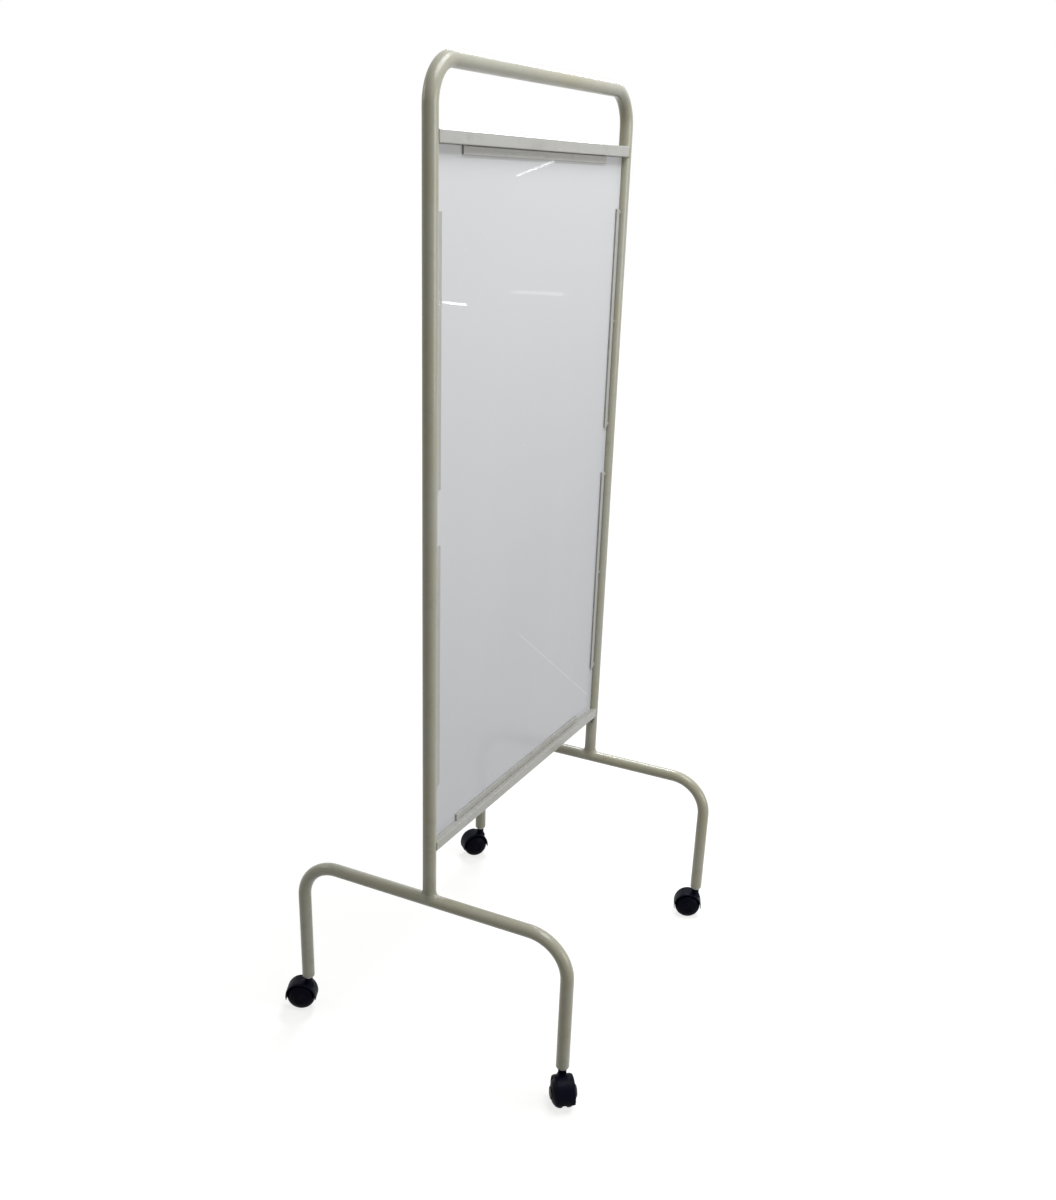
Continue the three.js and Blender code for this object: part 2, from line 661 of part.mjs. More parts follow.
const partition = new THREE.Group();
partition.add(hoopTube());
partition.add(crossbar('upper_crossbar', UPPER_BAR_Z, -1));
partition.add(crossbar('lower_crossbar', LOWER_BAR_Z, 1));
partition.add(panelSheet());
partition.add(barStrip('upper_front_strip', BAY_TOP_Z, false));
partition.add(barStrip('lower_front_strip', BAY_BOTTOM_Z, true));
partition.add(barBead('upper_rear_bead', BAY_TOP_Z, false));
partition.add(barBead('lower_rear_bead', BAY_BOTTOM_Z, true));
partition.add(...beadScrews());
for (const side of Object.keys(SIDES)) {
  const upperStripZ = BAY_TOP_Z - UPPER_SIDE_STRIP_DROP - UPPER_SIDE_STRIP_LENGTH / 2;
  const lowerStripZ = BAY_BOTTOM_Z + LOWER_SIDE_STRIP_RISE + LOWER_SIDE_STRIP_LENGTH / 2;
  partition.add(footTube(side), sideBead(side));
  partition.add(sideStrip(side, 'upper', upperStripZ, UPPER_SIDE_STRIP_LENGTH));
  partition.add(sideStrip(side, 'lower', lowerStripZ, LOWER_SIDE_STRIP_LENGTH));
  for (const end of Object.keys(ENDS)) partition.add(caster(side, end));
}
const extent = new THREE.Box3().setFromObject(partition, true);
partition.position.set(-(extent.min.x + extent.max.x) / 2, -(extent.min.y + extent.max.y) / 2, 0);

export default partition;
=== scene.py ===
"""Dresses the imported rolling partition: tubes, welds, panel, strips, fixings, casters, studio and camera.

Sizes are in millimetres in the classes and become metres when a mesh is made. Places are measured from the
middle of the frame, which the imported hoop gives.
"""

from __future__ import annotations

import logging
import math
from collections.abc import Callable, Iterable, Sequence
from dataclasses import dataclass, field
from enum import Enum

import bmesh
import bpy
from mathutils import Matrix, Vector, noise

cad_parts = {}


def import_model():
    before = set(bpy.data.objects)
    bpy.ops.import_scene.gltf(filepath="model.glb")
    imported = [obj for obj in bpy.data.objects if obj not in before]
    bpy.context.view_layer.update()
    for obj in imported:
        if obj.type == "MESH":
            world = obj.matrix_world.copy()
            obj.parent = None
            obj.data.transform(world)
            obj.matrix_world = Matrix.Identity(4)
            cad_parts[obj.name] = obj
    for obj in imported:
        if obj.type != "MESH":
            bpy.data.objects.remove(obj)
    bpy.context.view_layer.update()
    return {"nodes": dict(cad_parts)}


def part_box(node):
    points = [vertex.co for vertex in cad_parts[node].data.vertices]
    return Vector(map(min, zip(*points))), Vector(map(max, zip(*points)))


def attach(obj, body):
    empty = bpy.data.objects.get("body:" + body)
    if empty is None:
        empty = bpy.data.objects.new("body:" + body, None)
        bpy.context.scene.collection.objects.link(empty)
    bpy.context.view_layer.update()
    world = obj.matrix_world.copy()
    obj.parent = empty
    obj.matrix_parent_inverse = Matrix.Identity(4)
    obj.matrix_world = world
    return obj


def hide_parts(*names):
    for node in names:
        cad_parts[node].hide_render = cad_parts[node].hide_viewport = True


LOG = logging.getLogger("rolling_partition")
MM = 0.001

Colour = tuple[float, float, float]
Point2 = tuple[float, float]
Wear = Callable[[Vector], float]


class Slot(Enum):
    """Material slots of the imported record."""

    PAINT = "frame_paint"
    PANEL = "panel_sheet"
    ZINC = "zinc_screw"
    STEEL = "bright_steel"
    SOCKET = "socket_plastic"
    CASTER = "caster_plastic"


class Side(Enum):
    """The two uprights, by their sign along X."""

    LEFT = -1
    RIGHT = 1

    @property
    def word(self) -> str:
        """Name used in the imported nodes."""
        return self.name.lower()


class End(Enum):
    """The two ends of a foot, by their sign along Y."""

    FRONT = -1
    BACK = 1

    @property
    def word(self) -> str:
        """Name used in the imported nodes."""
        return self.name.lower()


# ---------------------------------------------------------------- shapes


@dataclass
class Shape:
    """Points and faces of a closed form, in millimetres.

    Attributes:
        points: Corners.
        faces: Corner numbers of each face.
    """

    points: list[Vector] = field(default_factory=list)
    faces: list[tuple[int, ...]] = field(default_factory=list)

    def add(self, other: Shape) -> Shape:
        """Joins another shape's points and faces to this one.

        Args:
            other: Shape to take in.

        Returns:
            This shape.
        """
        base = len(self.points)
        self.points += [point.copy() for point in other.points]
        self.faces += [tuple(base + i for i in face) for face in other.faces]
        return self

    def moved(self, matrix: Matrix) -> Shape:
        """Copies the shape through a matrix.

        Args:
            matrix: Turn and shift to apply.

        Returns:
            The new shape.
        """
        return Shape([matrix @ point for point in self.points], list(self.faces))

    def mesh(self, name: str, origin: Vector, bevel: float = 0.0, crease: float = 32.0) -> bpy.types.Mesh:
        """Makes a Blender mesh in metres, faces outward, with its sharp edges rounded and marked.

        Args:
            name: Name of the mesh.
            origin: Place of the frame's middle, in metres.
            bevel: Width of the rounding of sharp edges, in millimetres.
            crease: Angle in degrees above which an edge counts as sharp.

        Returns:
            The mesh.
        """
        form = bmesh.new()
        corners = [form.verts.new(point * MM + origin) for point in self.points]
        for face in self.faces:
            form.faces.new([corners[i] for i in face])
        bmesh.ops.remove_doubles(form, verts=form.verts, dist=1e-7)
        bmesh.ops.recalc_face_normals(form, faces=form.faces)
        if bevel > 0:
            sharp = [e for e in form.edges if e.is_manifold and e.calc_face_angle(0.0) > math.radians(crease)]
            bmesh.ops.bevel(form, geom=sharp, offset=bevel * MM, segments=2, profile=0.6, affect="EDGES")
        mesh = bpy.data.meshes.new(name)
        form.to_mesh(mesh)
        form.free()
        mesh.shade_smooth()
        mesh.set_sharp_from_angle(angle=math.radians(crease))
        return level_faces(mesh) if bevel > 0 else mesh


def level_faces(mesh: bpy.types.Mesh) -> bpy.types.Mesh:
    """Keeps the large faces of a mesh with rounded edges shaded flat, right up to the rounding.

    Args:
        mesh: Mesh to work on; it is replaced.

    Returns:
        The same mesh with normals weighted by face area.
    """

    def weigh(bench: bpy.types.Object) -> None:
        even = bench.modifiers.new("even", "WEIGHTED_NORMAL")
        even.mode = "FACE_AREA"
        even.keep_sharp = True

    return made_solid(mesh, weigh)


def loft(rings: Sequence[Sequence[Vector]], closed: bool) -> Shape:
    """Joins equal rings of points with quads.

    Args:
        rings: Rings in order, each a closed loop of the same length.
        closed: True joins the last ring to the first; False caps both ends.

    Returns:
        A closed shape.
    """
    count = len(rings[0])
    shape = Shape([point for ring in rings for point in ring])
    spans = len(rings) if closed else len(rings) - 1
    for k in range(spans):
        low, high = k * count, (k + 1) % len(rings) * count
        for i in range(count):
            j = (i + 1) % count
            shape.faces.append((low + i, low + j, high + j, high + i))
    if not closed:
        shape.faces.append(tuple(reversed(range(count))))
        shape.faces.append(tuple(range((len(rings) - 1) * count, len(rings) * count)))
    return shape


def turned(profile: Sequence[Point2], sides: int) -> Shape:
    """Turns a profile of (radius, height) about Z.

    Args:
        profile: Open from axis to axis, or a closed loop whose last point is not repeated.
        sides: Steps round the axis.

    Returns:
        A closed shape.
    """
    on_axis = abs(profile[0][0]) < 1e-9
    inner = profile[1:-1] if on_axis else profile
    rings = []
    for radius, height in inner:
        turns = [2 * math.pi * i / sides for i in range(sides)]
        rings.append([Vector((radius * math.cos(a), radius * math.sin(a), height)) for a in turns])
    if not on_axis:
        return loft(rings, closed=True)
    shape = loft(rings, closed=False)
    shape.faces = shape.faces[:-2]
    first, last = len(shape.points), len(shape.points) + 1
    shape.points += [Vector((0, 0, profile[0][1])), Vector((0, 0, profile[-1][1]))]
    top = (len(inner) - 1) * sides
    for i in range(sides):
        j = (i + 1) % sides
        shape.faces.append((first, j, i))
        shape.faces.append((last, top + i, top + j))
    return shape


def rounded(corners: Sequence[Point2], radius: float, steps: int = 4) -> list[Point2]:
    """Rounds each corner of a closed outline, with less radius where its sides are short.

    Args:
        corners: Corners in order.
        radius: Largest corner radius.
        steps: Steps along each rounding.

    Returns:
        The rounded outline.
    """
    outline: list[Point2] = []
    count = len(corners)
    for i in range(count):
        before, corner, after = (Vector(corners[(i + k) % count]) for k in (-1, 0, 1))
        into, out = before - corner, after - corner
        reach = min(radius, into.length * 0.45, out.length * 0.45)
        start = corner + into.normalized() * reach
        stop = corner + out.normalized() * reach
        for k in range(steps + 1):
            t = k / steps
            point = start * (1 - t) ** 2 + corner * 2 * t * (1 - t) + stop * t * t
            outline.append((point.x, point.y))
    return outline


def smooth_line(points: Sequence[Point2], steps: int) -> list[Point2]:
    """Draws a smooth line through points.

    Args:
        points: Points to pass through.
        steps: Steps between two points.

    Returns:
        The denser line, ends included.
    """
    ends = [points[0], *points, points[-1]]
    line: list[Point2] = []
    for k in range(1, len(ends) - 2):
        p0, p1, p2, p3 = (Vector(ends[k + j]) for j in (-1, 0, 1, 2))
        for s in range(steps):
            t = s / steps
            curve = (
                p1 * 2
                + (p2 - p0) * t
                + (p0 * 2 - p1 * 5 + p2 * 4 - p3) * t**2
                + (p1 * 3 - p0 - p2 * 3 + p3) * t**3
            ) * 0.5
            line.append((curve.x, curve.y))
    line.append(tuple(points[-1]))
    return line


def bar_along_x(outline: Sequence[Point2], length: float) -> Shape:
    """Runs a (y, z) outline along X, centred.

    Args:
        outline: Closed outline across the bar.
        length: Length along X.

    Returns:
        A closed shape.
    """
    ends = (-length / 2, length / 2)
    return loft([[Vector((x, y, z)) for y, z in outline] for x in ends], closed=False)


def blob(size: Vector, seed: int, lumps: float = 0.1) -> Shape:
    """A lumpy bead of weld metal.

    Args:
        size: Half sizes along X, Y and Z.
        seed: Picks the lumps.
        lumps: Depth of the lumps as a share of the size.

    Returns:
        A closed shape about the origin.
    """
    rows = 12
    profile = [(math.sin(math.pi * k / rows), -math.cos(math.pi * k / rows)) for k in range(rows + 1)]
    profile[0] = (0.0, -1.0)
    profile[-1] = (0.0, 1.0)
    shape = turned(profile, 20)
    for point in shape.points:
        swell = 1 + lumps * noise.noise(point * 1.7 + Vector((seed * 3.1, seed * 1.7, 0)))
        point.x, point.y, point.z = (point[i] * size[i] * swell for i in range(3))
    return shape


def bead_along(path: Sequence[Vector], radius: float, seed: int, ripple: float = 0.12) -> Shape:
    """A closed bead of weld along a closed path, with the ripples of its puddles.

    Args:
        path: Closed path, dense enough to bend smoothly.
        radius: Bead radius.
        seed: Picks the ripples.
        ripple: Depth of the ripples as a share of the radius.

    Returns:
        A closed shape.
    """
    rings = []
    count = len(path)
    middle = sum(path, Vector()) / count
    for i, point in enumerate(path):
        along = (path[(i + 1) % count] - path[i - 1]).normalized()
        outward = (point - middle) - along * (point - middle).dot(along)
        outward.normalize()
        across = along.cross(outward)
        swell = 1 + ripple * noise.noise(Vector((i * 0.35, seed * 5.3, 0)))
        turns = [2 * math.pi * k / 10 for k in range(10)]
        rings.append([point + (outward * math.cos(a) + across * math.sin(a)) * radius * swell for a in turns])
    return loft(rings, closed=True)


# ---------------------------------------------------------------- finishes


class Graph:
    """Nodes of one material, with short calls to add and join them."""

    def __init__(self, name: str) -> None:
        """Starts a material that ends in a plain surface shader.

        Args:
            name: Name of the material.
        """
        self.material = bpy.data.materials.new(name)
        self.material.use_nodes = True
        self.tree = self.material.node_tree
        self.tree.nodes.clear()
        self.output = self.tree.nodes.new("ShaderNodeOutputMaterial")
        self.shader = self.tree.nodes.new("ShaderNodeBsdfPrincipled")
        self.join(self.shader.outputs["BSDF"], self.output.inputs["Surface"])
        self.place = self.node("ShaderNodeTexCoord").outputs["Object"]

    def node(self, kind: str, **settings: object) -> bpy.types.Node:
        """Adds a node.

        Args:
            kind: Blender's name for the node.
            **settings: Properties to set on it.

        Returns:
            The node.
        """
        made = self.tree.nodes.new(kind)
        for key, value in settings.items():
            setattr(made, key, value)
        return made

    def join(self, source: bpy.types.NodeSocket, target: bpy.types.NodeSocket) -> None:
        """Links an output to an input."""
        self.tree.links.new(source, target)

    def stretched(self, scale: Colour, turn: Colour = (0.0, 0.0, 0.0)) -> bpy.types.NodeSocket:
        """Scales and turns the object's own coordinates.

        Args:
            scale: Scale along each axis.
            turn: Turn about each axis, in degrees.

        Returns:
            The coordinates.
        """
        mapping = self.node("ShaderNodeMapping")
        mapping.inputs["Scale"].default_value = scale
        mapping.inputs["Rotation"].default_value = tuple(math.radians(t) for t in turn)
        self.join(self.place, mapping.inputs["Vector"])
        return mapping.outputs["Vector"]

    def noise(
        self, scale: float, detail: float = 3.0, rough: float = 0.5, at: bpy.types.NodeSocket | None = None
    ) -> bpy.types.NodeSocket:
        """Adds cloudy noise.

        Args:
            scale: Clouds per metre, about.
            detail: How many finer layers lie on it.
            rough: How strong the finer layers are.
            at: Coordinates, or the object's own.

        Returns:
            A value from 0 to 1.
        """
        cloud = self.node("ShaderNodeTexNoise")
        cloud.inputs["Scale"].default_value = scale
        cloud.inputs["Detail"].default_value = detail
        cloud.inputs["Roughness"].default_value = rough
        self.join(at or self.place, cloud.inputs["Vector"])
        return cloud.outputs["Fac"]

    def spread(
        self, value: bpy.types.NodeSocket, low: float, high: float, out_low: float = 0.0, out_high: float = 1.0
    ) -> bpy.types.NodeSocket:
        """Maps a value smoothly from one span to another.

        Args:
            value: Value to map.
            low: Input at the start of the span.
            high: Input at the end of the span.
            out_low: Output at the start.
            out_high: Output at the end.

        Returns:
            The mapped value, kept inside the span.
        """
        ranged = self.node("ShaderNodeMapRange", interpolation_type="SMOOTHSTEP")
        for key, number in (("From Min", low), ("From Max", high), ("To Min", out_low), ("To Max", out_high)):
            ranged.inputs[key].default_value = number
        self.join(value, ranged.inputs["Value"])
        return ranged.outputs["Result"]

    def times(self, first: bpy.types.NodeSocket, second: bpy.types.NodeSocket | float) -> bpy.types.NodeSocket:
        """Multiplies two values.

        Args:
            first: First value.
            second: Second value, a socket or a number.

        Returns:
            The product.
        """
        product = self.node("ShaderNodeMath", operation="MULTIPLY")
        self.join(first, product.inputs[0])
        if isinstance(second, float):
            product.inputs[1].default_value = second
        else:
            self.join(second, product.inputs[1])
        return product.outputs[0]

    def along(self, direction: Colour, start: float) -> bpy.types.NodeSocket:
        """Measures how far a place lies along a direction.

        Args:
            direction: Unit direction.
            start: Distance, in metres, at which the result is 0.

        Returns:
            The distance past the start, in metres.
        """
        dot = self.node("ShaderNodeVectorMath", operation="DOT_PRODUCT")
        self.join(self.place, dot.inputs[0])
        dot.inputs[1].default_value = direction
        less = self.node("ShaderNodeMath", operation="SUBTRACT")
        self.join(dot.outputs["Value"], less.inputs[0])
        less.inputs[1].default_value = start
        return less.outputs[0]

    def size_of(self, value: bpy.types.NodeSocket) -> bpy.types.NodeSocket:
        """Gives a value without its sign."""
        bare = self.node("ShaderNodeMath", operation="ABSOLUTE")
        self.join(value, bare.inputs[0])
        return bare.outputs[0]

    def blend(
        self,
        share: bpy.types.NodeSocket,
        first: Colour | bpy.types.NodeSocket,
        second: Colour | bpy.types.NodeSocket,
    ) -> bpy.types.NodeSocket:
        """Blends two colours.

        Args:
            share: Share of the second colour.
            first: First colour, as numbers or a socket.
            second: Second colour, as numbers or a socket.

        Returns:
            The blended colour.
        """
        mixer = self.node("ShaderNodeMix", data_type="RGBA")
        self.join(share, mixer.inputs["Factor"])
        for socket, value in ((mixer.inputs[6], first), (mixer.inputs[7], second)):
            if isinstance(value, tuple):
                socket.default_value = (*value, 1.0)
            else:
                self.join(value, socket)
        return mixer.outputs[2]

    def bump(self, layers: Iterable[tuple[bpy.types.NodeSocket, float, float]]) -> None:
        """Chains bumps into the shader's normal.

        Args:
            layers: Height, strength and depth in metres of each layer.
        """
        normal = None
        for height, strength, depth in layers:
            made = self.node("ShaderNodeBump")
            made.inputs["Strength"].default_value = strength
            made.inputs["Distance"].default_value = depth
            self.join(height, made.inputs["Height"])
            if normal is not None:
                self.join(normal, made.inputs["Normal"])
            normal = made.outputs["Normal"]
        self.join(normal, self.shader.inputs["Normal"])

    def set(self, **values: float) -> None:
        """Sets plain values on the shader's sockets, with underscores for spaces in their names."""
        for key, value in values.items():
            self.shader.inputs[key.replace("_", " ")].default_value = value


@dataclass(frozen=True)
class TubePaint:
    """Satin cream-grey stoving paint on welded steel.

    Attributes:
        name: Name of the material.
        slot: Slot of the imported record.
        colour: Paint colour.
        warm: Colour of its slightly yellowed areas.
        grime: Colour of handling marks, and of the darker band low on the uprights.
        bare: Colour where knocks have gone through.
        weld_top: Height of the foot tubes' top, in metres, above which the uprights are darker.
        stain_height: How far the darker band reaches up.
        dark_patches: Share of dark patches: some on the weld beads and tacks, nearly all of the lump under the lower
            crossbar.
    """

    name: str = "tube_paint"
    slot: Slot = Slot.PAINT
    colour: Colour = (0.345, 0.34, 0.284)
    warm: Colour = (0.325, 0.308, 0.22)
    grime: Colour = (0.21, 0.195, 0.15)
    bare: Colour = (0.14, 0.13, 0.11)
    weld_top: float = 0.363
    stain_height: float = 0.045
    dark_patches: float = 0.0

    def make(self) -> bpy.types.Material:
        """Builds the material."""
        graph = Graph(self.name)
        clouds = graph.spread(graph.noise(5.0, 4.0, 0.6), 0.35, 0.7)
        tone = graph.blend(clouds, self.colour, self.warm)
        grime = graph.spread(graph.noise(38.0, 5.0, 0.65), 0.5, 0.78, 0.0, 0.34)
        tone = graph.blend(grime, tone, self.grime)
        # The uprights are darker in a patchy band just above the foot tubes, fading upwards.
        height = graph.along((0.0, 0.0, 1.0), 0.0)
        above = graph.spread(height, self.weld_top, self.weld_top + 0.004)
        fading = graph.spread(height, self.weld_top + self.stain_height, self.weld_top)
        patchy = graph.spread(graph.noise(60.0, 3.0, 0.6), 0.3, 0.6, 0.25, 0.75)
        tone = graph.blend(graph.times(graph.times(above, fading), patchy), tone, self.grime)
        low = graph.spread(height, 0.45, 0.08)
        knocks = graph.spread(graph.noise(150.0, 2.0, 0.5), 0.72, 0.745)
        tone = graph.blend(graph.times(knocks, graph.times(low, 0.7)), tone, self.bare)
        rubbed = graph.spread(graph.noise(1.0, 3.0, 0.6, graph.stretched((700.0, 700.0, 9.0))), 0.62, 0.7)
        tone = graph.blend(graph.times(rubbed, 0.07), tone, (0.62, 0.62, 0.58))
        # Dark patches; the lump under the lower crossbar is nearly all dark.
        if self.dark_patches > 0:
            dark_patch = graph.spread(graph.noise(210.0, 3.0, 0.6), 0.44, 0.6, 0.0, self.dark_patches)
            tone = graph.blend(dark_patch, tone, (0.06, 0.055, 0.05))
        graph.join(tone, graph.shader.inputs["Base Color"])
        gloss = graph.spread(graph.noise(22.0, 6.0, 0.7), 0.3, 0.75, 0.29, 0.43)
        graph.join(gloss, graph.shader.inputs["Roughness"])
        graph.set(IOR=1.48, Specular_IOR_Level=0.4, Coat_Weight=0.3, Coat_Roughness=0.16, Coat_IOR=1.48)
        peel = graph.noise(620.0, 2.0, 0.4)
        sag = graph.noise(45.0, 2.0, 0.5)
        graph.bump([(sag, 0.12, 0.0012), (peel, 0.16, 0.00022), (knocks, -0.05, 0.0002)])
        return graph.material


@dataclass(frozen=True)
class GlossPanel:
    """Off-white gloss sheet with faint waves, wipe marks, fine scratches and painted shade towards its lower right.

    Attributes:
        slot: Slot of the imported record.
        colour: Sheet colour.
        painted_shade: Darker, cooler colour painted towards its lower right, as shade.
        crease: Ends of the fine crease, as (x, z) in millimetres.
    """

    slot: Slot = Slot.PANEL
    colour: Colour = (0.58, 0.583, 0.592)
    painted_shade: Colour = (0.5, 0.51, 0.535)
    crease: tuple[Point2, Point2] = ((-24.2, 782.9), (362.4, 505.2))

    def make(self) -> bpy.types.Material:
        """Builds the material."""
        graph = Graph("gloss_panel")
        # Painted shade: the sheet's colour darkens and cools towards its lower right.
        low = graph.spread(graph.along((-0.6, 0.0, 0.8), 0.0), 1.3, 0.3)
        tone = graph.blend(low, self.colour, self.painted_shade)
        wiped = graph.spread(graph.noise(1.0, 4.0, 0.5, graph.stretched((2.2, 2.2, 0.9))), 0.35, 0.75, 0.0, 0.35)
        tone = graph.blend(wiped, tone, (0.6, 0.6, 0.6))
        patch = graph.spread(graph.noise(3.1, 2.0, 0.5), 0.5, 0.7)
        crease = self.crease_line(graph)
        tone = graph.blend(graph.times(crease, 0.5), tone, (0.74, 0.74, 0.74))
        specks = graph.spread(graph.noise(90.0, 1.0, 0.4), 0.75, 0.77)
        tone = graph.blend(graph.times(specks, graph.times(patch, 0.5)), tone, (0.72, 0.73, 0.74))
        graph.join(tone, graph.shader.inputs["Base Color"])
        gloss = graph.spread(graph.noise(9.0, 6.0, 0.6), 0.3, 0.75, 0.285, 0.35)
        graph.join(gloss, graph.shader.inputs["Roughness"])
        graph.set(IOR=1.49, Specular_IOR_Level=0.22, Coat_Weight=0.13, Coat_Roughness=0.012, Coat_IOR=1.49)
        waves = graph.noise(1.0, 1.0, 0.3, graph.stretched((3.5, 3.5, 1.6)))
        graph.bump([(waves, 0.08, 0.003), (crease, 0.1, 0.0002)])
        return graph.material

    def crease_line(self, graph: Graph) -> bpy.types.NodeSocket:
        """Marks the fine diagonal crease in the sheet.

        Args:
            graph: Material to work in.

        Returns:
            1 on the crease, 0 away from it.
        """
        start, stop = (Vector(end) * MM for end in self.crease)
        run = (stop - start).normalized()
        side = Vector((-run.y, run.x))
        off = graph.size_of(graph.along((side.x, 0.0, side.y), side.dot(start)))
        line = graph.spread(off, 0.0016, 0.0004)
        middle = (start + stop) / 2
        past = graph.size_of(graph.along((run.x, 0.0, run.y), run.dot(middle)))
        half = (stop - start).length / 2
        kept = graph.spread(past, half, half - 0.03)
        broken = graph.spread(graph.noise(26.0, 2.0, 0.5), 0.3, 0.5, 0.45, 1.0)
        return graph.times(graph.times(line, kept), broken)


@dataclass(frozen=True)
class PlatedMetal:
    """Bare or plated steel with a fine drawn grain.

    Attributes:
        name: Name of the material.
        slot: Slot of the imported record.
        colour: Metal colour.
        dull: Colour of its duller spots.
        roughness: Middle roughness.
    """

    name: str
    slot: Slot
    colour: Colour
    dull: Colour
    roughness: float

    def make(self) -> bpy.types.Material:
        """Builds the material."""
        graph = Graph(self.name)
        spots = graph.spread(graph.noise(420.0, 4.0, 0.6), 0.45, 0.7)
        graph.join(graph.blend(spots, self.colour, self.dull), graph.shader.inputs["Base Color"])
        grain = graph.noise(1.0, 3.0, 0.6, graph.stretched((300.0, 300.0, 4200.0)))
        gloss = graph.spread(grain, 0.25, 0.75, self.roughness - 0.07, self.roughness + 0.1)
        graph.join(gloss, graph.shader.inputs["Roughness"])
        graph.set(Metallic=1.0)
        graph.bump([(grain, 0.12, 0.00008), (graph.noise(900.0, 2.0, 0.5), 0.1, 0.00005)])
        return graph.material


@dataclass(frozen=True)
class MouldedPlastic:
    """Moulded plastic with a fine grain, and dust where its mesh says it is worn.

    Attributes:
        name: Name of the material.
        slot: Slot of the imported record.
        colour: Plastic colour.
        worn: Colour of its scuffs and dust.
        roughness: Middle roughness.
        grain: Depth of the moulded grain, in metres.
        shine: Specular level.
    """

    name: str
    slot: Slot
    colour: Colour
    worn: Colour
    roughness: float
    grain: float
    shine: float

    def make(self) -> bpy.types.Material:
        """Builds the material."""
        graph = Graph(self.name)
        wear = graph.node("ShaderNodeAttribute", attribute_name="wear").outputs["Fac"]
        dust = graph.spread(graph.noise(240.0, 6.0, 0.7), 0.35, 0.75)
        scuff = graph.spread(graph.noise(1.0, 3.0, 0.6, graph.stretched((160.0, 900.0, 160.0))), 0.6, 0.72)
        cloud = graph.spread(graph.noise(60.0, 3.0, 0.5), 0.3, 0.7, 0.0, 0.12)
        tone = graph.blend(cloud, self.colour, self.worn)
        tone = graph.blend(graph.times(scuff, 0.12), tone, self.worn)
        tone = graph.blend(graph.times(graph.times(dust, wear), 0.6), tone, self.worn)
        graph.join(tone, graph.shader.inputs["Base Color"])
        gloss = graph.spread(graph.noise(130.0, 5.0, 0.6), 0.3, 0.75, self.roughness - 0.07, self.roughness + 0.12)
        graph.join(gloss, graph.shader.inputs["Roughness"])
        graph.set(IOR=1.5, Specular_IOR_Level=self.shine)
        grain = graph.noise(1500.0, 2.0, 0.5)
        graph.bump([(graph.noise(110.0, 2.0, 0.5), 0.1, 0.0004), (grain, 0.35, self.grain), (scuff, -0.1, 0.0001)])
        return graph.material


Finish = TubePaint | GlossPanel | PlatedMetal | MouldedPlastic

PAINT = TubePaint()
# Lighter, more neutral copy of the frame paint: painted light on the crossbars, strips and seam, which carry the same
# paint as the rest of the frame.
LIT_PAINT = TubePaint("bar_paint", colour=(0.375, 0.372, 0.352), warm=(0.355, 0.349, 0.318))
PANEL = GlossPanel()
ZINC = PlatedMetal("zinc_plate", Slot.ZINC, (0.62, 0.62, 0.6), (0.42, 0.42, 0.4), 0.34)
STEEL = PlatedMetal("turned_steel", Slot.STEEL, (0.56, 0.57, 0.58), (0.4, 0.4, 0.4), 0.26)
SOCKET = MouldedPlastic(
    "socket_plastic", Slot.SOCKET, (0.62, 0.61, 0.68), (0.5, 0.49, 0.53), roughness=0.46, grain=0.00005, shine=0.4
)
HOOD = MouldedPlastic(
    "hood_plastic", Slot.CASTER, (0.0014, 0.0015, 0.0065), (0.007, 0.007, 0.013), roughness=0.42, grain=0.00006, shine=0.045
)
WHEEL = MouldedPlastic(
    "wheel_plastic", Slot.CASTER, (0.001, 0.0011, 0.005), (0.01, 0.01, 0.014), roughness=0.38, grain=0.00005, shine=0.035
)
WELD = TubePaint(name="weld_paint", dark_patches=0.3)
# Nearly black finish for the lump under the right end of the lower crossbar.
DARK_LUMP_PAINT = TubePaint(name="scorched_weld", dark_patches=0.97)


# ---------------------------------------------------------------- workshop


@dataclass
class Workshop:
    """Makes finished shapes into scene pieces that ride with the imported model.

    Attributes:
        origin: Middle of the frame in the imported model, in metres.
        nodes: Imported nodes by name.
        stock: Materials made so far.
    """

    origin: Vector
    nodes: dict[str, bpy.types.Object]
    stock: dict[str, bpy.types.Material] = field(default_factory=dict)

    def material(self, finish: Finish) -> bpy.types.Material:
        """Gives a finish's material, made once.

        Args:
            finish: Finish to look up.

        Returns:
            Its material.
        """
        key = repr(finish)
        if key not in self.stock:
            self.stock[key] = finish.make()
        return self.stock[key]

    def place(
        self,
        name: str,
        mesh: bpy.types.Mesh,
        finish: Finish,
        body: str = "frame",
        stands_for: Sequence[str] = (),
        wear: Wear | None = None,
    ) -> bpy.types.Object:
        """Places a finished mesh as one piece.

        Args:
            name: Name of the piece.
            mesh: Its mesh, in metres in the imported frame.
            finish: Its finish.
            body: Body that it rides on.
            stands_for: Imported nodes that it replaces.
            wear: Gives the wear, 0 to 1, at a place measured in millimetres from the frame's middle.

        Returns:
            The piece.
        """
        piece = bpy.data.objects.new(name, mesh)
        bpy.context.scene.collection.objects.link(piece)
        mesh.materials.clear()
        mesh.materials.append(self.material(finish))
        if wear is not None:
            layer = mesh.attributes.new("wear", "FLOAT", "POINT")
            for i, corner in enumerate(mesh.vertices):
                layer.data[i].value = wear((corner.co - self.origin) / MM)
        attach(piece, body)
        if stands_for:
            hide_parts(*stands_for)
        LOG.info("%s: %d faces on %s, stands for %s", name, len(mesh.polygons), body, list(stands_for) or "nothing")
        return piece

    def finish_node(self, name: str, finish: Finish) -> None:
        """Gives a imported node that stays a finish.

        Args:
            name: Name of the node.
            finish: Its finish.
        """
        node = self.nodes[name]
        for slot in node.material_slots:
            slot.link = "OBJECT"
            slot.material = self.material(finish)
        LOG.info("%s: packed node, finish %s", name, finish.slot.value)


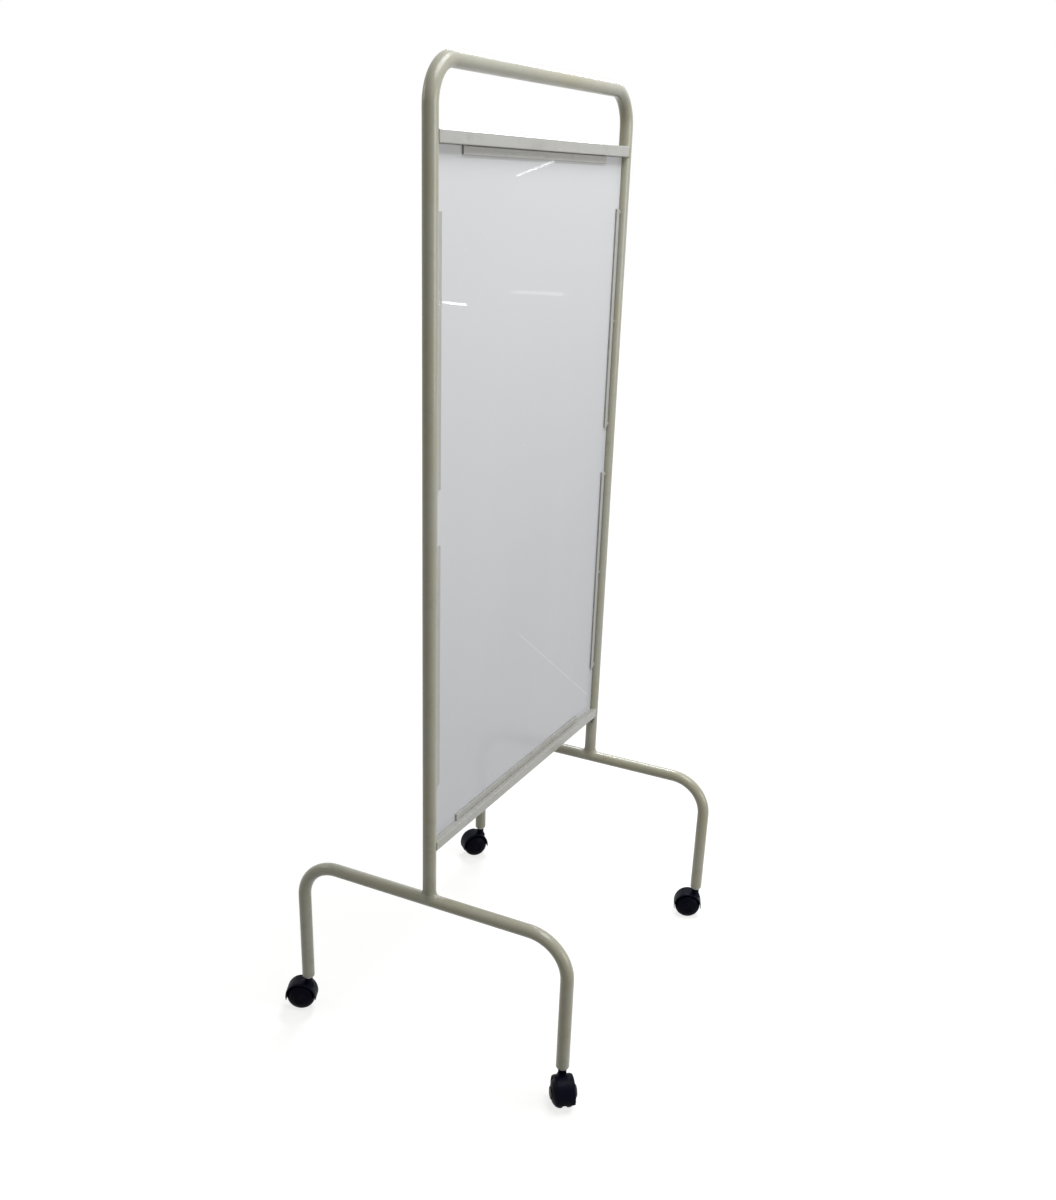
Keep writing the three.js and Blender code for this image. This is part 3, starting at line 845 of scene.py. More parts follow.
def made_solid(mesh: bpy.types.Mesh, tools: Callable[[bpy.types.Object], None]) -> bpy.types.Mesh:
    """Runs modifiers on a mesh and keeps the result.

    Args:
        mesh: Mesh to work on; it is removed afterwards.
        tools: Adds the modifiers to the object that it is given.

    Returns:
        The worked mesh.
    """
    bench = bpy.data.objects.new("bench", mesh)
    bpy.context.scene.collection.objects.link(bench)
    tools(bench)
    graph = bpy.context.evaluated_depsgraph_get()
    worked = bpy.data.meshes.new_from_object(bench.evaluated_get(graph))
    name = mesh.name
    bpy.data.objects.remove(bench)
    bpy.data.meshes.remove(mesh)
    worked.name = name
    return worked


def shape_of(mesh: bpy.types.Mesh) -> Shape:
    """Reads a mesh in metres back into a shape in millimetres."""
    return Shape([v.co / MM for v in mesh.vertices], [tuple(p.vertices) for p in mesh.polygons])


# ---------------------------------------------------------------- frame


@dataclass(frozen=True)
class FrameSizes:
    """Sizes that the frame's pieces share, in millimetres.

    Attributes:
        tube_radius: Outer radius of the round tube.
        tube_wall: Its wall.
        upright_x: Distance of the uprights' axes from the middle.
        hoop_top: Height of the top run's axis.
        hoop_bend: Bend radius of the hoop.
        hoop_lift: Height of the hoop's ends above the foot tubes' axes.
        foot_z: Height of the foot tubes' axes.
        foot_bend: Bend radius of the feet.
        leg_y: Distance of the legs' axes from the middle.
        leg_end: Height of the legs' ends.
        gap: Clearance between two solids.
        bar_height: Height of a crossbar.
        bar_depth: Depth of a crossbar.
        bar_corner: Corner radius of a crossbar.
        bar_cope: How far a crossbar's ends reach round the uprights.
        upper_bar: Height of the upper crossbar's axis.
        lower_bar: Height of the lower crossbar's axis.
    """

    tube_radius: float = 12.7
    tube_wall: float = 1.5
    upright_x: float = 367.5
    hoop_top: float = 1759.0
    hoop_bend: float = 65.0
    hoop_lift: float = 5.0
    foot_z: float = 349.0
    foot_bend: float = 80.0
    leg_y: float = 291.0
    leg_end: float = 77.0
    gap: float = 0.3
    bar_height: float = 19.0
    bar_depth: float = 25.4
    bar_corner: float = 2.0
    bar_cope: float = 6.4
    upper_bar: float = 1654.0
    lower_bar: float = 464.0

    @property
    def bay(self) -> float:
        """Half the width between the uprights."""
        return self.upright_x - self.tube_radius

    @property
    def bay_top(self) -> float:
        """Height of the upper crossbar's underside."""
        return self.upper_bar - self.bar_height / 2

    @property
    def bay_bottom(self) -> float:
        """Height of the lower crossbar's top."""
        return self.lower_bar + self.bar_height / 2


@dataclass
class BentTube:
    """A hollow round tube along straight runs and round bends in one plane.

    Attributes:
        corners: Corners of the centre line before bending.
        bend: Bend radius.
        radius: Outer radius.
        wall: Wall thickness.
        plane: Direction square to the plane of the bends.
        sides: Steps round the tube.
        steps: Steps along a bend.
        flattening: How much a bend squeezes the tube in its plane, as a share of the radius.
    """

    corners: Sequence[Vector]
    bend: float
    radius: float
    wall: float
    plane: Vector
    sides: int = 48
    steps: int = 20
    flattening: float = 0.03

    def stations(self) -> list[tuple[Vector, Vector, float]]:
        """Gives point, direction and squeeze at each step of the centre line."""
        line = [(self.corners[0], (self.corners[1] - self.corners[0]).normalized(), 1.0)]
        for i in range(1, len(self.corners) - 1):
            into = (self.corners[i] - self.corners[i - 1]).normalized()
            out = (self.corners[i + 1] - self.corners[i]).normalized()
            turn = into.angle(out)
            start = self.corners[i] - into * self.bend * math.tan(turn / 2)
            inward = (out - into * out.dot(into)).normalized()
            for k in range(self.steps + 1):
                angle = turn * k / self.steps
                point = start + into * self.bend * math.sin(angle) + inward * self.bend * (1 - math.cos(angle))
                heading = into * math.cos(angle) + inward * math.sin(angle)
                line.append((point, heading, 1 - self.flattening * math.sin(math.pi * k / self.steps) ** 2))
        line.append((self.corners[-1], (self.corners[-1] - self.corners[-2]).normalized(), 1.0))
        return line

    def ring(self, station: tuple[Vector, Vector, float], radius: float) -> list[Vector]:
        """Draws the tube's section at one station.

        Args:
            station: Point, direction and squeeze.
            radius: Radius of the ring.

        Returns:
            Points round the ring.
        """
        point, heading, squeeze = station
        side = self.plane.cross(heading).normalized()
        turns = [2 * math.pi * i / self.sides for i in range(self.sides)]
        return [point + (side * math.cos(a) * squeeze + self.plane * math.sin(a)) * radius for a in turns]

    def shape(self, lip: float, end: Callable[[Vector], Vector] | None = None) -> Shape:
        """Builds the tube with its bore.

        Args:
            lip: Rounding of the ends' edges.
            end: Moves a point of either end onto what the end is cut to fit.

        Returns:
            A closed shape.
        """
        line = self.stations()
        outer = [self.ring(station, self.radius) for station in line]
        inner = [self.ring(station, self.radius - self.wall) for station in line]
        if end is not None:
            for rings in (outer, inner):
                rings[0] = [end(p) for p in rings[0]]
                rings[-1] = [end(p) for p in rings[-1]]
            return loft([*outer, *reversed(inner)], closed=True)
        for k, back in ((0, 1.0), (-1, -1.0)):
            point, heading, squeeze = line[k]
            inset = (point + heading * lip * back, heading, squeeze)
            edge = [self.ring(line[k], self.radius - lip)]
            rest = [self.ring(inset, self.radius)]
            outer = [*edge, *rest, *outer[1:]] if k == 0 else [*outer[:-1], *rest, *edge]
        return loft([*outer, *reversed(inner)], closed=True)


@dataclass
class Frame:
    """The welded steel frame: hoop, two feet, two crossbars and their welds.

    Attributes:
        sizes: Shared sizes.
        lip: Rounding of the legs' open ends.
        flare_height: How far a foot weld runs up the upright.
        flare_reach: How far it runs out along the foot.
        bead: Radius of a crossbar's weld bead.
    """

    sizes: FrameSizes
    lip: float = 0.4
    flare_height: float = 11.0
    flare_reach: float = 6.5
    bead: float = 1.7

    def hoop(self) -> Shape:
        """Builds the hoop, its ends cut to the foot tubes."""
        s = self.sizes
        low = s.foot_z + s.hoop_lift
        corners = [
            Vector((-s.upright_x, 0, low)),
            Vector((-s.upright_x, 0, s.hoop_top)),
            Vector((s.upright_x, 0, s.hoop_top)),
            Vector((s.upright_x, 0, low)),
        ]

        def cut(point: Vector) -> Vector:
            """Drops an end's point onto the foot tube below it."""
            aside = abs(point.x) - s.upright_x
            over = math.sqrt(max((s.tube_radius + s.gap) ** 2 - aside**2, 0.0))
            return Vector((point.x, point.y, s.foot_z + max(s.hoop_lift, over)))

        tube = BentTube(corners, s.hoop_bend, s.tube_radius, s.tube_wall, Vector((0, 1, 0)))
        return tube.shape(self.lip, cut)

    def foot(self, side: Side) -> Shape:
        """Builds one foot with its two legs.

        Args:
            side: Upright that it carries.

        Returns:
            The foot tube.
        """
        s = self.sizes
        x = side.value * s.upright_x
        corners = [
            Vector((x, -s.leg_y, s.leg_end)),
            Vector((x, -s.leg_y, s.foot_z)),
            Vector((x, s.leg_y, s.foot_z)),
            Vector((x, s.leg_y, s.leg_end)),
        ]
        tube = BentTube(corners, s.foot_bend, s.tube_radius, s.tube_wall, Vector((1, 0, 0)))
        return tube.shape(self.lip)

    def foot_weld(self, side: Side) -> Shape:
        """Builds the flared weld where an upright stands on its foot tube.

        Args:
            side: Upright that it joins.

        Returns:
            The weld.
        """
        s = self.sizes
        radius = s.tube_radius
        rings = []
        steps = 96
        for i in range(steps):
            a = 2 * math.pi * i / steps
            lean = abs(math.sin(a))
            ripple = 1 + 0.1 * noise.noise(Vector((math.cos(a) * 5, math.sin(a) * 5, side.value * 3.0)))
            rise = radius * math.sqrt(lean**2 + 0.03)
            corner = Vector((radius * math.cos(a), radius * math.sin(a), rise))
            top = corner + Vector((0, 0, self.flare_height * (0.45 + 0.55 * lean) * ripple))
            reach = self.flare_reach * lean * ripple
            around = math.pi / 2 - math.acos(max(-1.0, min(1.0, math.cos(a))))
            around += math.copysign(0.2 * (1 - lean), around)
            foot = Vector(
                (
                    radius * math.sin(around),
                    corner.y + math.copysign(reach, math.sin(a)),
                    radius * math.cos(around),
                )
            )
            out = Vector((math.cos(a), math.sin(a), 0))
            ring = []
            for k in range(9):
                t = k / 8
                point = top * (1 - t) ** 2 + corner * 2 * t * (1 - t) + foot * t * t
                ring.append(point + out * 0.55 * math.sin(math.pi * t) * ripple)
            ring.append(Vector((corner.x * 0.8, corner.y * 0.8, min(top.z, corner.z) - 2.5)))
            rings.append(ring)
        weld = loft(rings, closed=True)
        return weld.moved(Matrix.Translation((side.value * s.upright_x, 0, s.foot_z)))

    def crossbar(self, z: float) -> Shape:
        """Builds a crossbar, its ends cut round the uprights.

        Args:
            z: Height of its axis.

        Returns:
            The bar.
        """
        s = self.sizes
        half_y, half_z = s.bar_depth / 2, s.bar_height / 2
        corners = [(-half_y, -half_z), (half_y, -half_z), (half_y, half_z), (-half_y, half_z)]
        outline = self.divided(rounded(corners, s.bar_corner, 6), 1.6)
        rings = []
        for sign in (-1, 1):
            rings.append([Vector((sign * self.bar_end(y), y, z + h)) for y, h in outline])
        return loft(rings, closed=False)

    def bar_end(self, y: float) -> float:
        """Gives how far a crossbar reaches from the middle at a depth y."""
        s = self.sizes
        room = s.tube_radius + s.gap
        return min(s.bay + s.bar_cope, s.upright_x - math.sqrt(max(room**2 - y**2, 0.0)))

    @staticmethod
    def divided(outline: Sequence[Point2], longest: float) -> list[Point2]:
        """Adds points to an outline so that no side is longer than a given length.

        Args:
            outline: Closed outline.
            longest: Longest side allowed.

        Returns:
            The denser outline.
        """
        dense: list[Point2] = []
        for i, first in enumerate(outline):
            second = outline[(i + 1) % len(outline)]
            span = math.dist(first, second)
            cuts = max(1, math.ceil(span / longest))
            for k in range(cuts):
                t = k / cuts
                dense.append((first[0] * (1 - t) + second[0] * t, first[1] * (1 - t) + second[1] * t))
        return dense

    def bar_weld(self, side: Side, z: float, seed: int) -> Shape:
        """Builds the bead round one end of a crossbar.

        Args:
            side: Upright that it joins.
            z: Height of the bar's axis.
            seed: Picks the ripples.

        Returns:
            The bead.
        """
        s = self.sizes
        half_y, half_z = s.bar_depth / 2 - 0.9, s.bar_height / 2 - 0.3
        corners = [(-half_y, -half_z), (half_y, -half_z), (half_y, half_z), (-half_y, half_z)]
        path = [
            Vector((side.value * (self.bar_end(y) + 0.2), y, z + h))
            for y, h in self.divided(rounded(corners, 3.0, 5), 1.2)
        ]
        return bead_along(path, self.bead, seed)

    def scorched_weld(self) -> Shape:
        """Builds the lumpy blob under the right end of the lower crossbar, which takes a nearly black finish."""
        s = self.sizes
        lump = blob(Vector((3.7, 6.2, 8.2)), 11, 0.3)
        place = (s.bay + 0.7, -6.0, s.lower_bar - s.bar_height / 2 - 7.8)
        return lump.moved(Matrix.Translation(place))

    def build(self, shop: Workshop) -> None:
        """Places the frame's pieces.

        Args:
            shop: Workshop to place them with.
        """
        s = self.sizes
        shop.place("hoop", self.hoop().mesh("hoop", shop.origin), PAINT, stands_for=["hoop_tube"])
        bars = {"upper": s.upper_bar, "lower": s.lower_bar}
        for word, z in bars.items():
            # The crossbars take the lighter copy of the paint, which paints light on them.
            mesh = self.crossbar(z).mesh(f"{word}_bar", shop.origin, bevel=0.25)
            shop.place(f"{word}_bar", mesh, LIT_PAINT, stands_for=[f"{word}_crossbar"])
        for side in Side:
            name = f"{side.word}_foot"
            shop.place(name, self.foot(side).mesh(name, shop.origin), PAINT, stands_for=[f"{side.word}_foot_tube"])
            weld = self.foot_weld(side).mesh(f"{side.word}_foot_weld", shop.origin, crease=60.0)
            shop.place(f"{side.word}_foot_weld", weld, PAINT)
            for seed, (word, z) in enumerate(bars.items()):
                name = f"{side.word}_{word}_bar_weld"
                bead = self.bar_weld(side, z, seed + side.value * 2 + 5).mesh(name, shop.origin, crease=60.0)
                shop.place(name, bead, WELD)
        mesh = self.scorched_weld().mesh("scorched_weld", shop.origin, crease=60.0)
        shop.place("scorched_weld", mesh, DARK_LUMP_PAINT)


# ---------------------------------------------------------------- panel, strips, beads and screws


@dataclass
class Panel:
    """The rigid sheet with its front strips, their tacks, and the rear beads with their screws.

    Attributes:
        sizes: Shared sizes.
        front_y: Depth of the sheet's front face.
        thickness: Sheet thickness.
        strip_width: Width of a front strip.
        strip_thickness: Its thickness.
        side_setoff: Gap between a side strip and its upright.
        bar_setoff: Gap between a crossbar and its strip.
        bar_strip: Length of a crossbar's strip.
        upper_strip: Length of an upper side strip.
        upper_drop: How far it starts below the upper crossbar.
        lower_strip: Length of a lower side strip.
        lower_rise: How far it starts above the lower crossbar.
        tack_inset: Distance of the end tacks from a strip's ends.
        bead_leg: Leg of a rear angle bead.
        bead_flange: Flange of a rear angle bead.
        bead_wall: Its wall.
        bead_inset: How far it stops short of the bay's corners.
        screw_inset: Distance of the end screws from the bay's corners.
    """

    sizes: FrameSizes
    front_y: float = 0.3
    thickness: float = 3.0
    strip_width: float = 12.7
    strip_thickness: float = 3.2
    side_setoff: float = 4.0
    bar_setoff: float = 0.9
    bar_strip: float = 546.0
    upper_strip: float = 426.0
    upper_drop: float = 93.5
    lower_strip: float = 450.0
    lower_rise: float = 106.5
    tack_inset: float = 6.0
    bead_leg: float = 12.7
    bead_flange: float = 9.0
    bead_wall: float = 1.2
    bead_inset: float = 16.0
    screw_inset: float = 90.0

    @property
    def bead_y(self) -> float:
        """Depth of a rear bead's front face."""
        return self.front_y + self.thickness + self.sizes.gap

    @property
    def screw_y(self) -> float:
        """Depth of the screws' axes."""
        return self.bead_y + self.bead_wall + (self.bead_flange - self.bead_wall) / 2

    def sheet(self) -> Shape:
        """Builds the sheet."""
        s = self.sizes
        half_x = s.bay - s.gap
        low, high = s.bay_bottom + s.gap, s.bay_top - s.gap
        outline = rounded([(-half_x, low), (half_x, low), (half_x, high), (-half_x, high)], 2.0)
        faces = (self.front_y, self.front_y + self.thickness)
        return loft([[Vector((x, y, z)) for x, z in outline] for y in faces], closed=False)

    def strip(self, length: float, setoff: float, seed: int) -> tuple[Shape, Shape]:
        """Builds a strip below a frame edge at z = 0, and its three tacks.

        Args:
            length: Length of the strip.
            setoff: Gap between the edge and the strip.
            seed: Picks the tacks' lumps.

        Returns:
            The flat strip and its tacks.
        """
        half_y = self.strip_thickness / 2
        top, low = -setoff, -setoff - self.strip_width
        corners = [(-2 * half_y, low), (0.0, low), (0.0, top), (-2 * half_y, top)]
        flat = bar_along_x(rounded(corners, 0.5, 3), length)
        tacks = Shape()
        reach = length / 2 - self.tack_inset
        for k, x in enumerate((-reach, 0.0, reach)):
            size = Vector((4.2 + 0.5 * math.sin(seed + k), 2.1, max(setoff, 1.4) + 1.4))
            lump = blob(size, seed * 3 + k, 0.22)
            tacks.add(lump.moved(Matrix.Translation((x, -half_y - 0.35, -setoff * 0.5))))
        return flat, tacks

    def seam(self, length: float) -> Shape:
        """Builds the paint that fills the seam between the lower crossbar and its strip.

        Args:
            length: Length of the strip.

        Returns:
            The seam, below a frame edge at z = 0.
        """
        front, low = 0.7 - self.strip_thickness, -self.bar_setoff - 0.3
        return bar_along_x([(front, low), (-0.5, low), (-0.5, 0.1), (front, 0.1)], length - 3.0)

    def bead(self, length: float) -> Shape:
        """Builds a rear angle bead below a frame edge at z = 0.

        Args:
            length: Length of the bead.

        Returns:
            The bead.
        """
        wall, gap = self.bead_wall, self.sizes.gap
        corners = [
            (0.0, 0.0),
            (self.bead_flange, 0.0),
            (self.bead_flange, -wall),
            (wall, -wall),
            (wall, -self.bead_leg),
            (0.0, -self.bead_leg),
        ]
        outline = [(y + self.bead_y, z - gap) for y, z in rounded(corners, 0.45, 3)]
        return bar_along_x(outline, length)

    def seats(self) -> dict[str, tuple[Matrix, float, bool]]:
        """Gives each edge of the bay: where the strips and beads of that edge go.

        Returns:
            The edge's matrix, its length, and whether it is a crossbar.
        """
        s = self.sizes
        middle = (s.bay_top + s.bay_bottom) / 2
        height = s.bay_top - s.bay_bottom
        flip = Matrix.Rotation(math.pi, 4, "Y")
        quarter = {side: Matrix.Rotation(side.value * math.pi / 2, 4, "Y") for side in Side}
        return {
            "upper": (Matrix.Translation((0, 0, s.bay_top)), 2 * s.bay, True),
            "lower": (Matrix.Translation((0, 0, s.bay_bottom)) @ flip, 2 * s.bay, True),
            "left": (Matrix.Translation((-s.bay, 0, middle)) @ quarter[Side.LEFT], height, False),
            "right": (Matrix.Translation((s.bay, 0, middle)) @ quarter[Side.RIGHT], height, False),
        }

    def strips(self) -> dict[str, tuple[Matrix, float, float]]:
        """Gives each front strip's matrix, length and set-off from the frame."""
        s = self.sizes
        rows: dict[str, tuple[Matrix, float, float]] = {}
        seats = self.seats()
        rows["upper_front_strip"] = (seats["upper"][0], self.bar_strip, self.bar_setoff)
        rows["lower_front_strip"] = (seats["lower"][0], self.bar_strip, self.bar_setoff)
        upper = s.bay_top - self.upper_drop - self.upper_strip / 2
        lower = s.bay_bottom + self.lower_rise + self.lower_strip / 2
        for side in Side:
            turn = Matrix.Rotation(side.value * math.pi / 2, 4, "Y")
            for word, z, length in (("upper", upper, self.upper_strip), ("lower", lower, self.lower_strip)):
                seat = Matrix.Translation((side.value * s.bay, 0, z)) @ turn
                rows[f"{side.word}_{word}_front_strip"] = (seat, length, self.side_setoff)
        return rows

    def screw_places(self) -> dict[str, Matrix]:
        """Gives each screw's seat, its axis outward from the bay along the seat's Z."""
        s = self.sizes
        seat = self.bead_wall + 2 * s.gap
        low, high = s.bay_bottom + self.screw_inset, s.bay_top - self.screw_inset
        reach = s.bay - self.screw_inset
        rows: dict[str, Matrix] = {}
        for side in Side:
            x = side.value * reach
            rows[f"upper_bead_screw_{side.word}"] = Matrix.Translation((x, self.screw_y, s.bay_top - seat))
            flip = Matrix.Rotation(math.pi, 4, "X")
            down = Matrix.Translation((x, self.screw_y, s.bay_bottom + seat)) @ flip
            rows[f"lower_bead_screw_{side.word}"] = down
            turn = Matrix.Rotation(side.value * math.pi / 2, 4, "Y")
            for word, z in (("upper", high), ("middle", (low + high) / 2), ("lower", low)):
                place = Matrix.Translation((side.value * (s.bay - seat), self.screw_y, z))
                rows[f"{side.word}_bead_screw_{word}"] = place @ turn
        return rows

    def build(self, shop: Workshop) -> None:
        """Places the sheet, strips, tacks, beads and screws.

        Args:
            shop: Workshop to place them with.
        """
        sheet = self.sheet().mesh("panel", shop.origin, bevel=0.5)
        shop.place("panel", sheet, PANEL, stands_for=["panel_sheet"])
        for seed, (node, (seat, length, setoff)) in enumerate(self.strips().items()):
            flat, tacks = self.strip(length, setoff, seed)
            word = node.removesuffix("_front_strip")
            # The strips take the lighter copy of the paint, which paints light on them.
            mesh = flat.moved(seat).mesh(f"{word}_strip", shop.origin, bevel=0.35)
            shop.place(f"{word}_strip", mesh, LIT_PAINT, stands_for=[node])
            mesh = tacks.moved(seat).mesh(f"{word}_strip_tacks", shop.origin, crease=60.0)
            shop.place(f"{word}_strip_tacks", mesh, WELD)
            if node == "lower_front_strip":
                # The seam also takes the lighter copy of the paint, which paints light on it.
                mesh = self.seam(length).moved(seat).mesh("lower_strip_seam", shop.origin)
                shop.place("lower_strip_seam", mesh, LIT_PAINT)
        for word, (seat, length, _) in self.seats().items():
            bead = self.bead(length - 2 * self.bead_inset).moved(seat)
            mesh = bead.mesh(f"{word}_bead", shop.origin, bevel=0.2)
            shop.place(f"{word}_bead", mesh, PAINT, stands_for=[f"{word}_rear_bead"])
        screw = Screw().shape()
        for turn, (node, seat) in enumerate(self.screw_places().items()):
            spun = seat @ Matrix.Rotation(0.7 * turn, 4, "Z")
            name = node.replace("bead_screw", "screw")
            mesh = screw.moved(spun).mesh(name, shop.origin, crease=28.0)
            shop.place(name, mesh, ZINC, stands_for=[node])


@dataclass
class Screw:
    """A pan-head screw with a cross recess, pointing up, its head's underside at z = 0.

    Attributes:
        radius: Shank radius.
        length: Shank length with its point.
        point: Length of the point.
        head_radius: Head radius.
        head_height: Head height.
        recess: Half length of the cross.
        slot: Width of the cross's arms.
        depth: Depth of the cross.
    """

    radius: float = 1.6
    length: float = 9.0
    point: float = 1.6
    head_radius: float = 3.4
    head_height: float = 1.8
    recess: float = 1.75
    slot: float = 0.7
    depth: float = 1.1

    def turned_body(self) -> Shape:
        """Builds the head and shank."""
        crown = [(0.0, -self.head_height), (1.3, -self.head_height * 0.985), (2.3, -self.head_height * 0.86)]
        crown += [(3.0, -self.head_height * 0.62), (self.head_radius, -self.head_height * 0.3)]
        shank = [(self.head_radius, -0.08), (self.head_radius - 0.1, 0.0), (self.radius, 0.0)]
        tip = [(self.radius, self.length - self.point), (0.0, self.length)]
        return turned(smooth_line(crown, 4) + shank + tip, 36)

    def cross(self) -> Shape:
        """Builds the tapered cutter of the recess."""
        cutter = Shape()
        wide, thin = self.recess, self.slot / 2
        for turn in (0.0, math.pi / 2):
            arm = []
            for z, share in ((-self.head_height - 0.5, 1.1), (-self.head_height + self.depth, 0.45)):
                arm.append([Vector((x * share, y, z)) for x, y in ((-wide, -thin), (wide, -thin), (wide, thin), (-wide, thin))])
            cutter.add(loft(arm, closed=False).moved(Matrix.Rotation(turn, 4, "Z") @ Matrix.Scale(1.0 + turn * 1e-3, 4)))
        return cutter

    def shape(self) -> Shape:
        """Cuts the recess into the head."""
        blade = bpy.data.objects.new("cutter", self.cross().mesh("cutter", Vector()))
        bpy.context.scene.collection.objects.link(blade)

        def cut(bench: bpy.types.Object) -> None:
            """Adds the cut to the bench."""
            tool = bench.modifiers.new("cut", "BOOLEAN")
            tool.operation = "DIFFERENCE"
            tool.solver = "EXACT"
            tool.use_self = True
            tool.object = blade

        mesh = made_solid(self.turned_body().mesh("screw", Vector()), cut)
        bpy.data.objects.remove(blade)
        shape = shape_of(mesh)
        bpy.data.meshes.remove(mesh)
        return shape


# ---------------------------------------------------------------- casters


@dataclass
class Caster:
    """A twin-wheel swivel caster under a leg, in its own frame: stem on Z, wheels trailing along +X.

    Attributes:
        sizes: Shared sizes.
        wheel_radius: Radius of a wheel, and height of the axle.
        half_width: Half the width over both wheels.
        trail: Distance of the axle behind the stem.
        hood_radius: Radius of the hood's outside.
        hood_top: Height of the hood's crown above the axle.
        hood_gap: Gap between the wheels and the hood.
        hood_half: Half the hood's width.
        shoulder: Width of the hood's soft shoulders.
        shoulder_drop: How far they fall.
        rear_edge: Angle of the hood's rear edge, in degrees from the trail.
        stem_edge: Angle of its edge under the stem.
        web_half: Half the thickness of the web between the wheels.
        hub_boss: Radius of the web's boss round the axle.
        neck: Radius of the stem boss.
        collar: Radius of the socket's collar.
        collar_length: Its length below the tube.
        bore: Radius of the socket's bore.
        socket_depth: How far the socket goes into the tube.
        rim_height: Height of the rim under the tube's end.
        face: Wheel face from the tread to its crown: (radius short of the tread's, distance in from the face).
        voxel: Size of the cells that melt the hood's parts together.
    """

    sizes: FrameSizes
    wheel_radius: float = 29.0
    half_width: float = 25.0
    trail: float = 16.0
    hood_radius: float = 31.8
    hood_top: float = 34.3
    hood_gap: float = 1.4
    hood_half: float = 18.5
    shoulder: float = 5.0
    shoulder_drop: float = 1.2
    rear_edge: float = -14.0
    stem_edge: float = 188.0
    web_half: float = 4.0
    hub_boss: float = 8.0
    neck: float = 8.1
    collar: float = 8.3
    collar_length: float = 5.5
    bore: float = 5.4
    socket_depth: float = 32.0
    rim_height: float = 1.8
    face: tuple[Point2, ...] = ((0.0, 16.0), (1.2, 12.0), (4.0, 8.0), (9.5, 4.0), (18.0, 1.0), (24.0, 0.0))
    voxel: float = 0.5

    def socket(self) -> Shape:
        """Builds the sleeve, rim and collar in a leg's end."""
        s = self.sizes
        rim_top = s.leg_end - s.gap
        sleeve = s.tube_radius - s.tube_wall - s.gap
        rim = s.tube_radius - s.gap
        corners = [
            (self.bore, s.leg_end - self.collar_length),
            (self.collar, s.leg_end - self.collar_length),
            (self.collar, rim_top - self.rim_height),
            (rim - 0.9, rim_top - self.rim_height),
            (rim, rim_top),
            (sleeve, rim_top),
            (sleeve, s.leg_end + self.socket_depth),
            (self.bore, s.leg_end + self.socket_depth),
        ]
        return turned(rounded(corners, 0.5, 3), 48)

    def shell(self) -> Shape:
        """Builds the hood's curved shell over the wheels, about the axle."""
        inside = self.wheel_radius + self.hood_gap
        across = [-self.hood_half + 2 * self.hood_half * k / 24 for k in range(25)]
        rings = []
        steps = 72
        for i in range(steps + 1):
            a = math.radians(self.rear_edge + (self.stem_edge - self.rear_edge) * i / steps)
            outer, inner = [], []
            for w in across:
                over = max(0.0, abs(w) - self.hood_half + self.shoulder) / self.shoulder
                fall = self.shoulder_drop * over**2
                reach = (self.hood_radius - fall) * math.cos(a)
                rise = (self.hood_top - fall) * math.sin(a)
                outer.append(Vector((reach, w, rise)))
                inner.append(Vector((inside * math.cos(a), w, inside * math.sin(a))))
            rings.append(outer + list(reversed(inner)))
        return loft(rings, closed=False)

    def web(self) -> Shape:
        """Builds the web between the wheels, about the axle."""
        outline = []
        for k in range(37):
            a = math.pi * k / 36
            outline.append((math.cos(a) * (self.hood_radius - 0.8), math.sin(a) * (self.hood_radius - 0.8)))
        for k in range(1, 20):
            a = math.pi + math.pi * k / 20
            outline.append((math.cos(a) * self.hub_boss, math.sin(a) * self.hub_boss))
        sides = (-self.web_half, self.web_half)
        return loft([[Vector((x, w, z)) for x, z in outline] for w in sides], closed=False)

    def boss(self) -> Shape:
        """Builds the neck round the stem with its flare into the hood."""
        top = self.sizes.leg_end - self.collar_length - self.sizes.gap
        base = self.wheel_radius + math.sqrt(self.hood_radius**2 - self.trail**2)
        profile = [(0.0, base - 6.0), (12.0, base - 6.0), (11.0, base - 1.5), (9.2, base + 1.6)]
        profile += [(self.neck + 0.15, base + 4.0), (self.neck, base + 5.5), (self.neck, top - 0.4)]
        profile += [(self.neck - 0.4, top), (0.0, top)]
        return turned(profile, 48)

    def hood(self) -> Shape:
        """Melts the shell, web and neck into one moulding."""
        axle = Matrix.Translation((self.trail, 0, self.wheel_radius))
        parts = Shape().add(self.shell().moved(axle)).add(self.web().moved(axle)).add(self.boss())

        def melt(bench: bpy.types.Object) -> None:
            """Adds the melting to the bench."""
            cells = bench.modifiers.new("cells", "REMESH")
            cells.mode = "VOXEL"
            cells.voxel_size = self.voxel * MM
            soft = bench.modifiers.new("soft", "SMOOTH")
            soft.factor = 0.5
            soft.iterations = 5
            fewer = bench.modifiers.new("fewer", "DECIMATE")
            fewer.ratio = 0.3

        mesh = made_solid(parts.mesh("hood_parts", Vector()), melt)
        shape = shape_of(mesh)
        bpy.data.meshes.remove(mesh)
        return shape

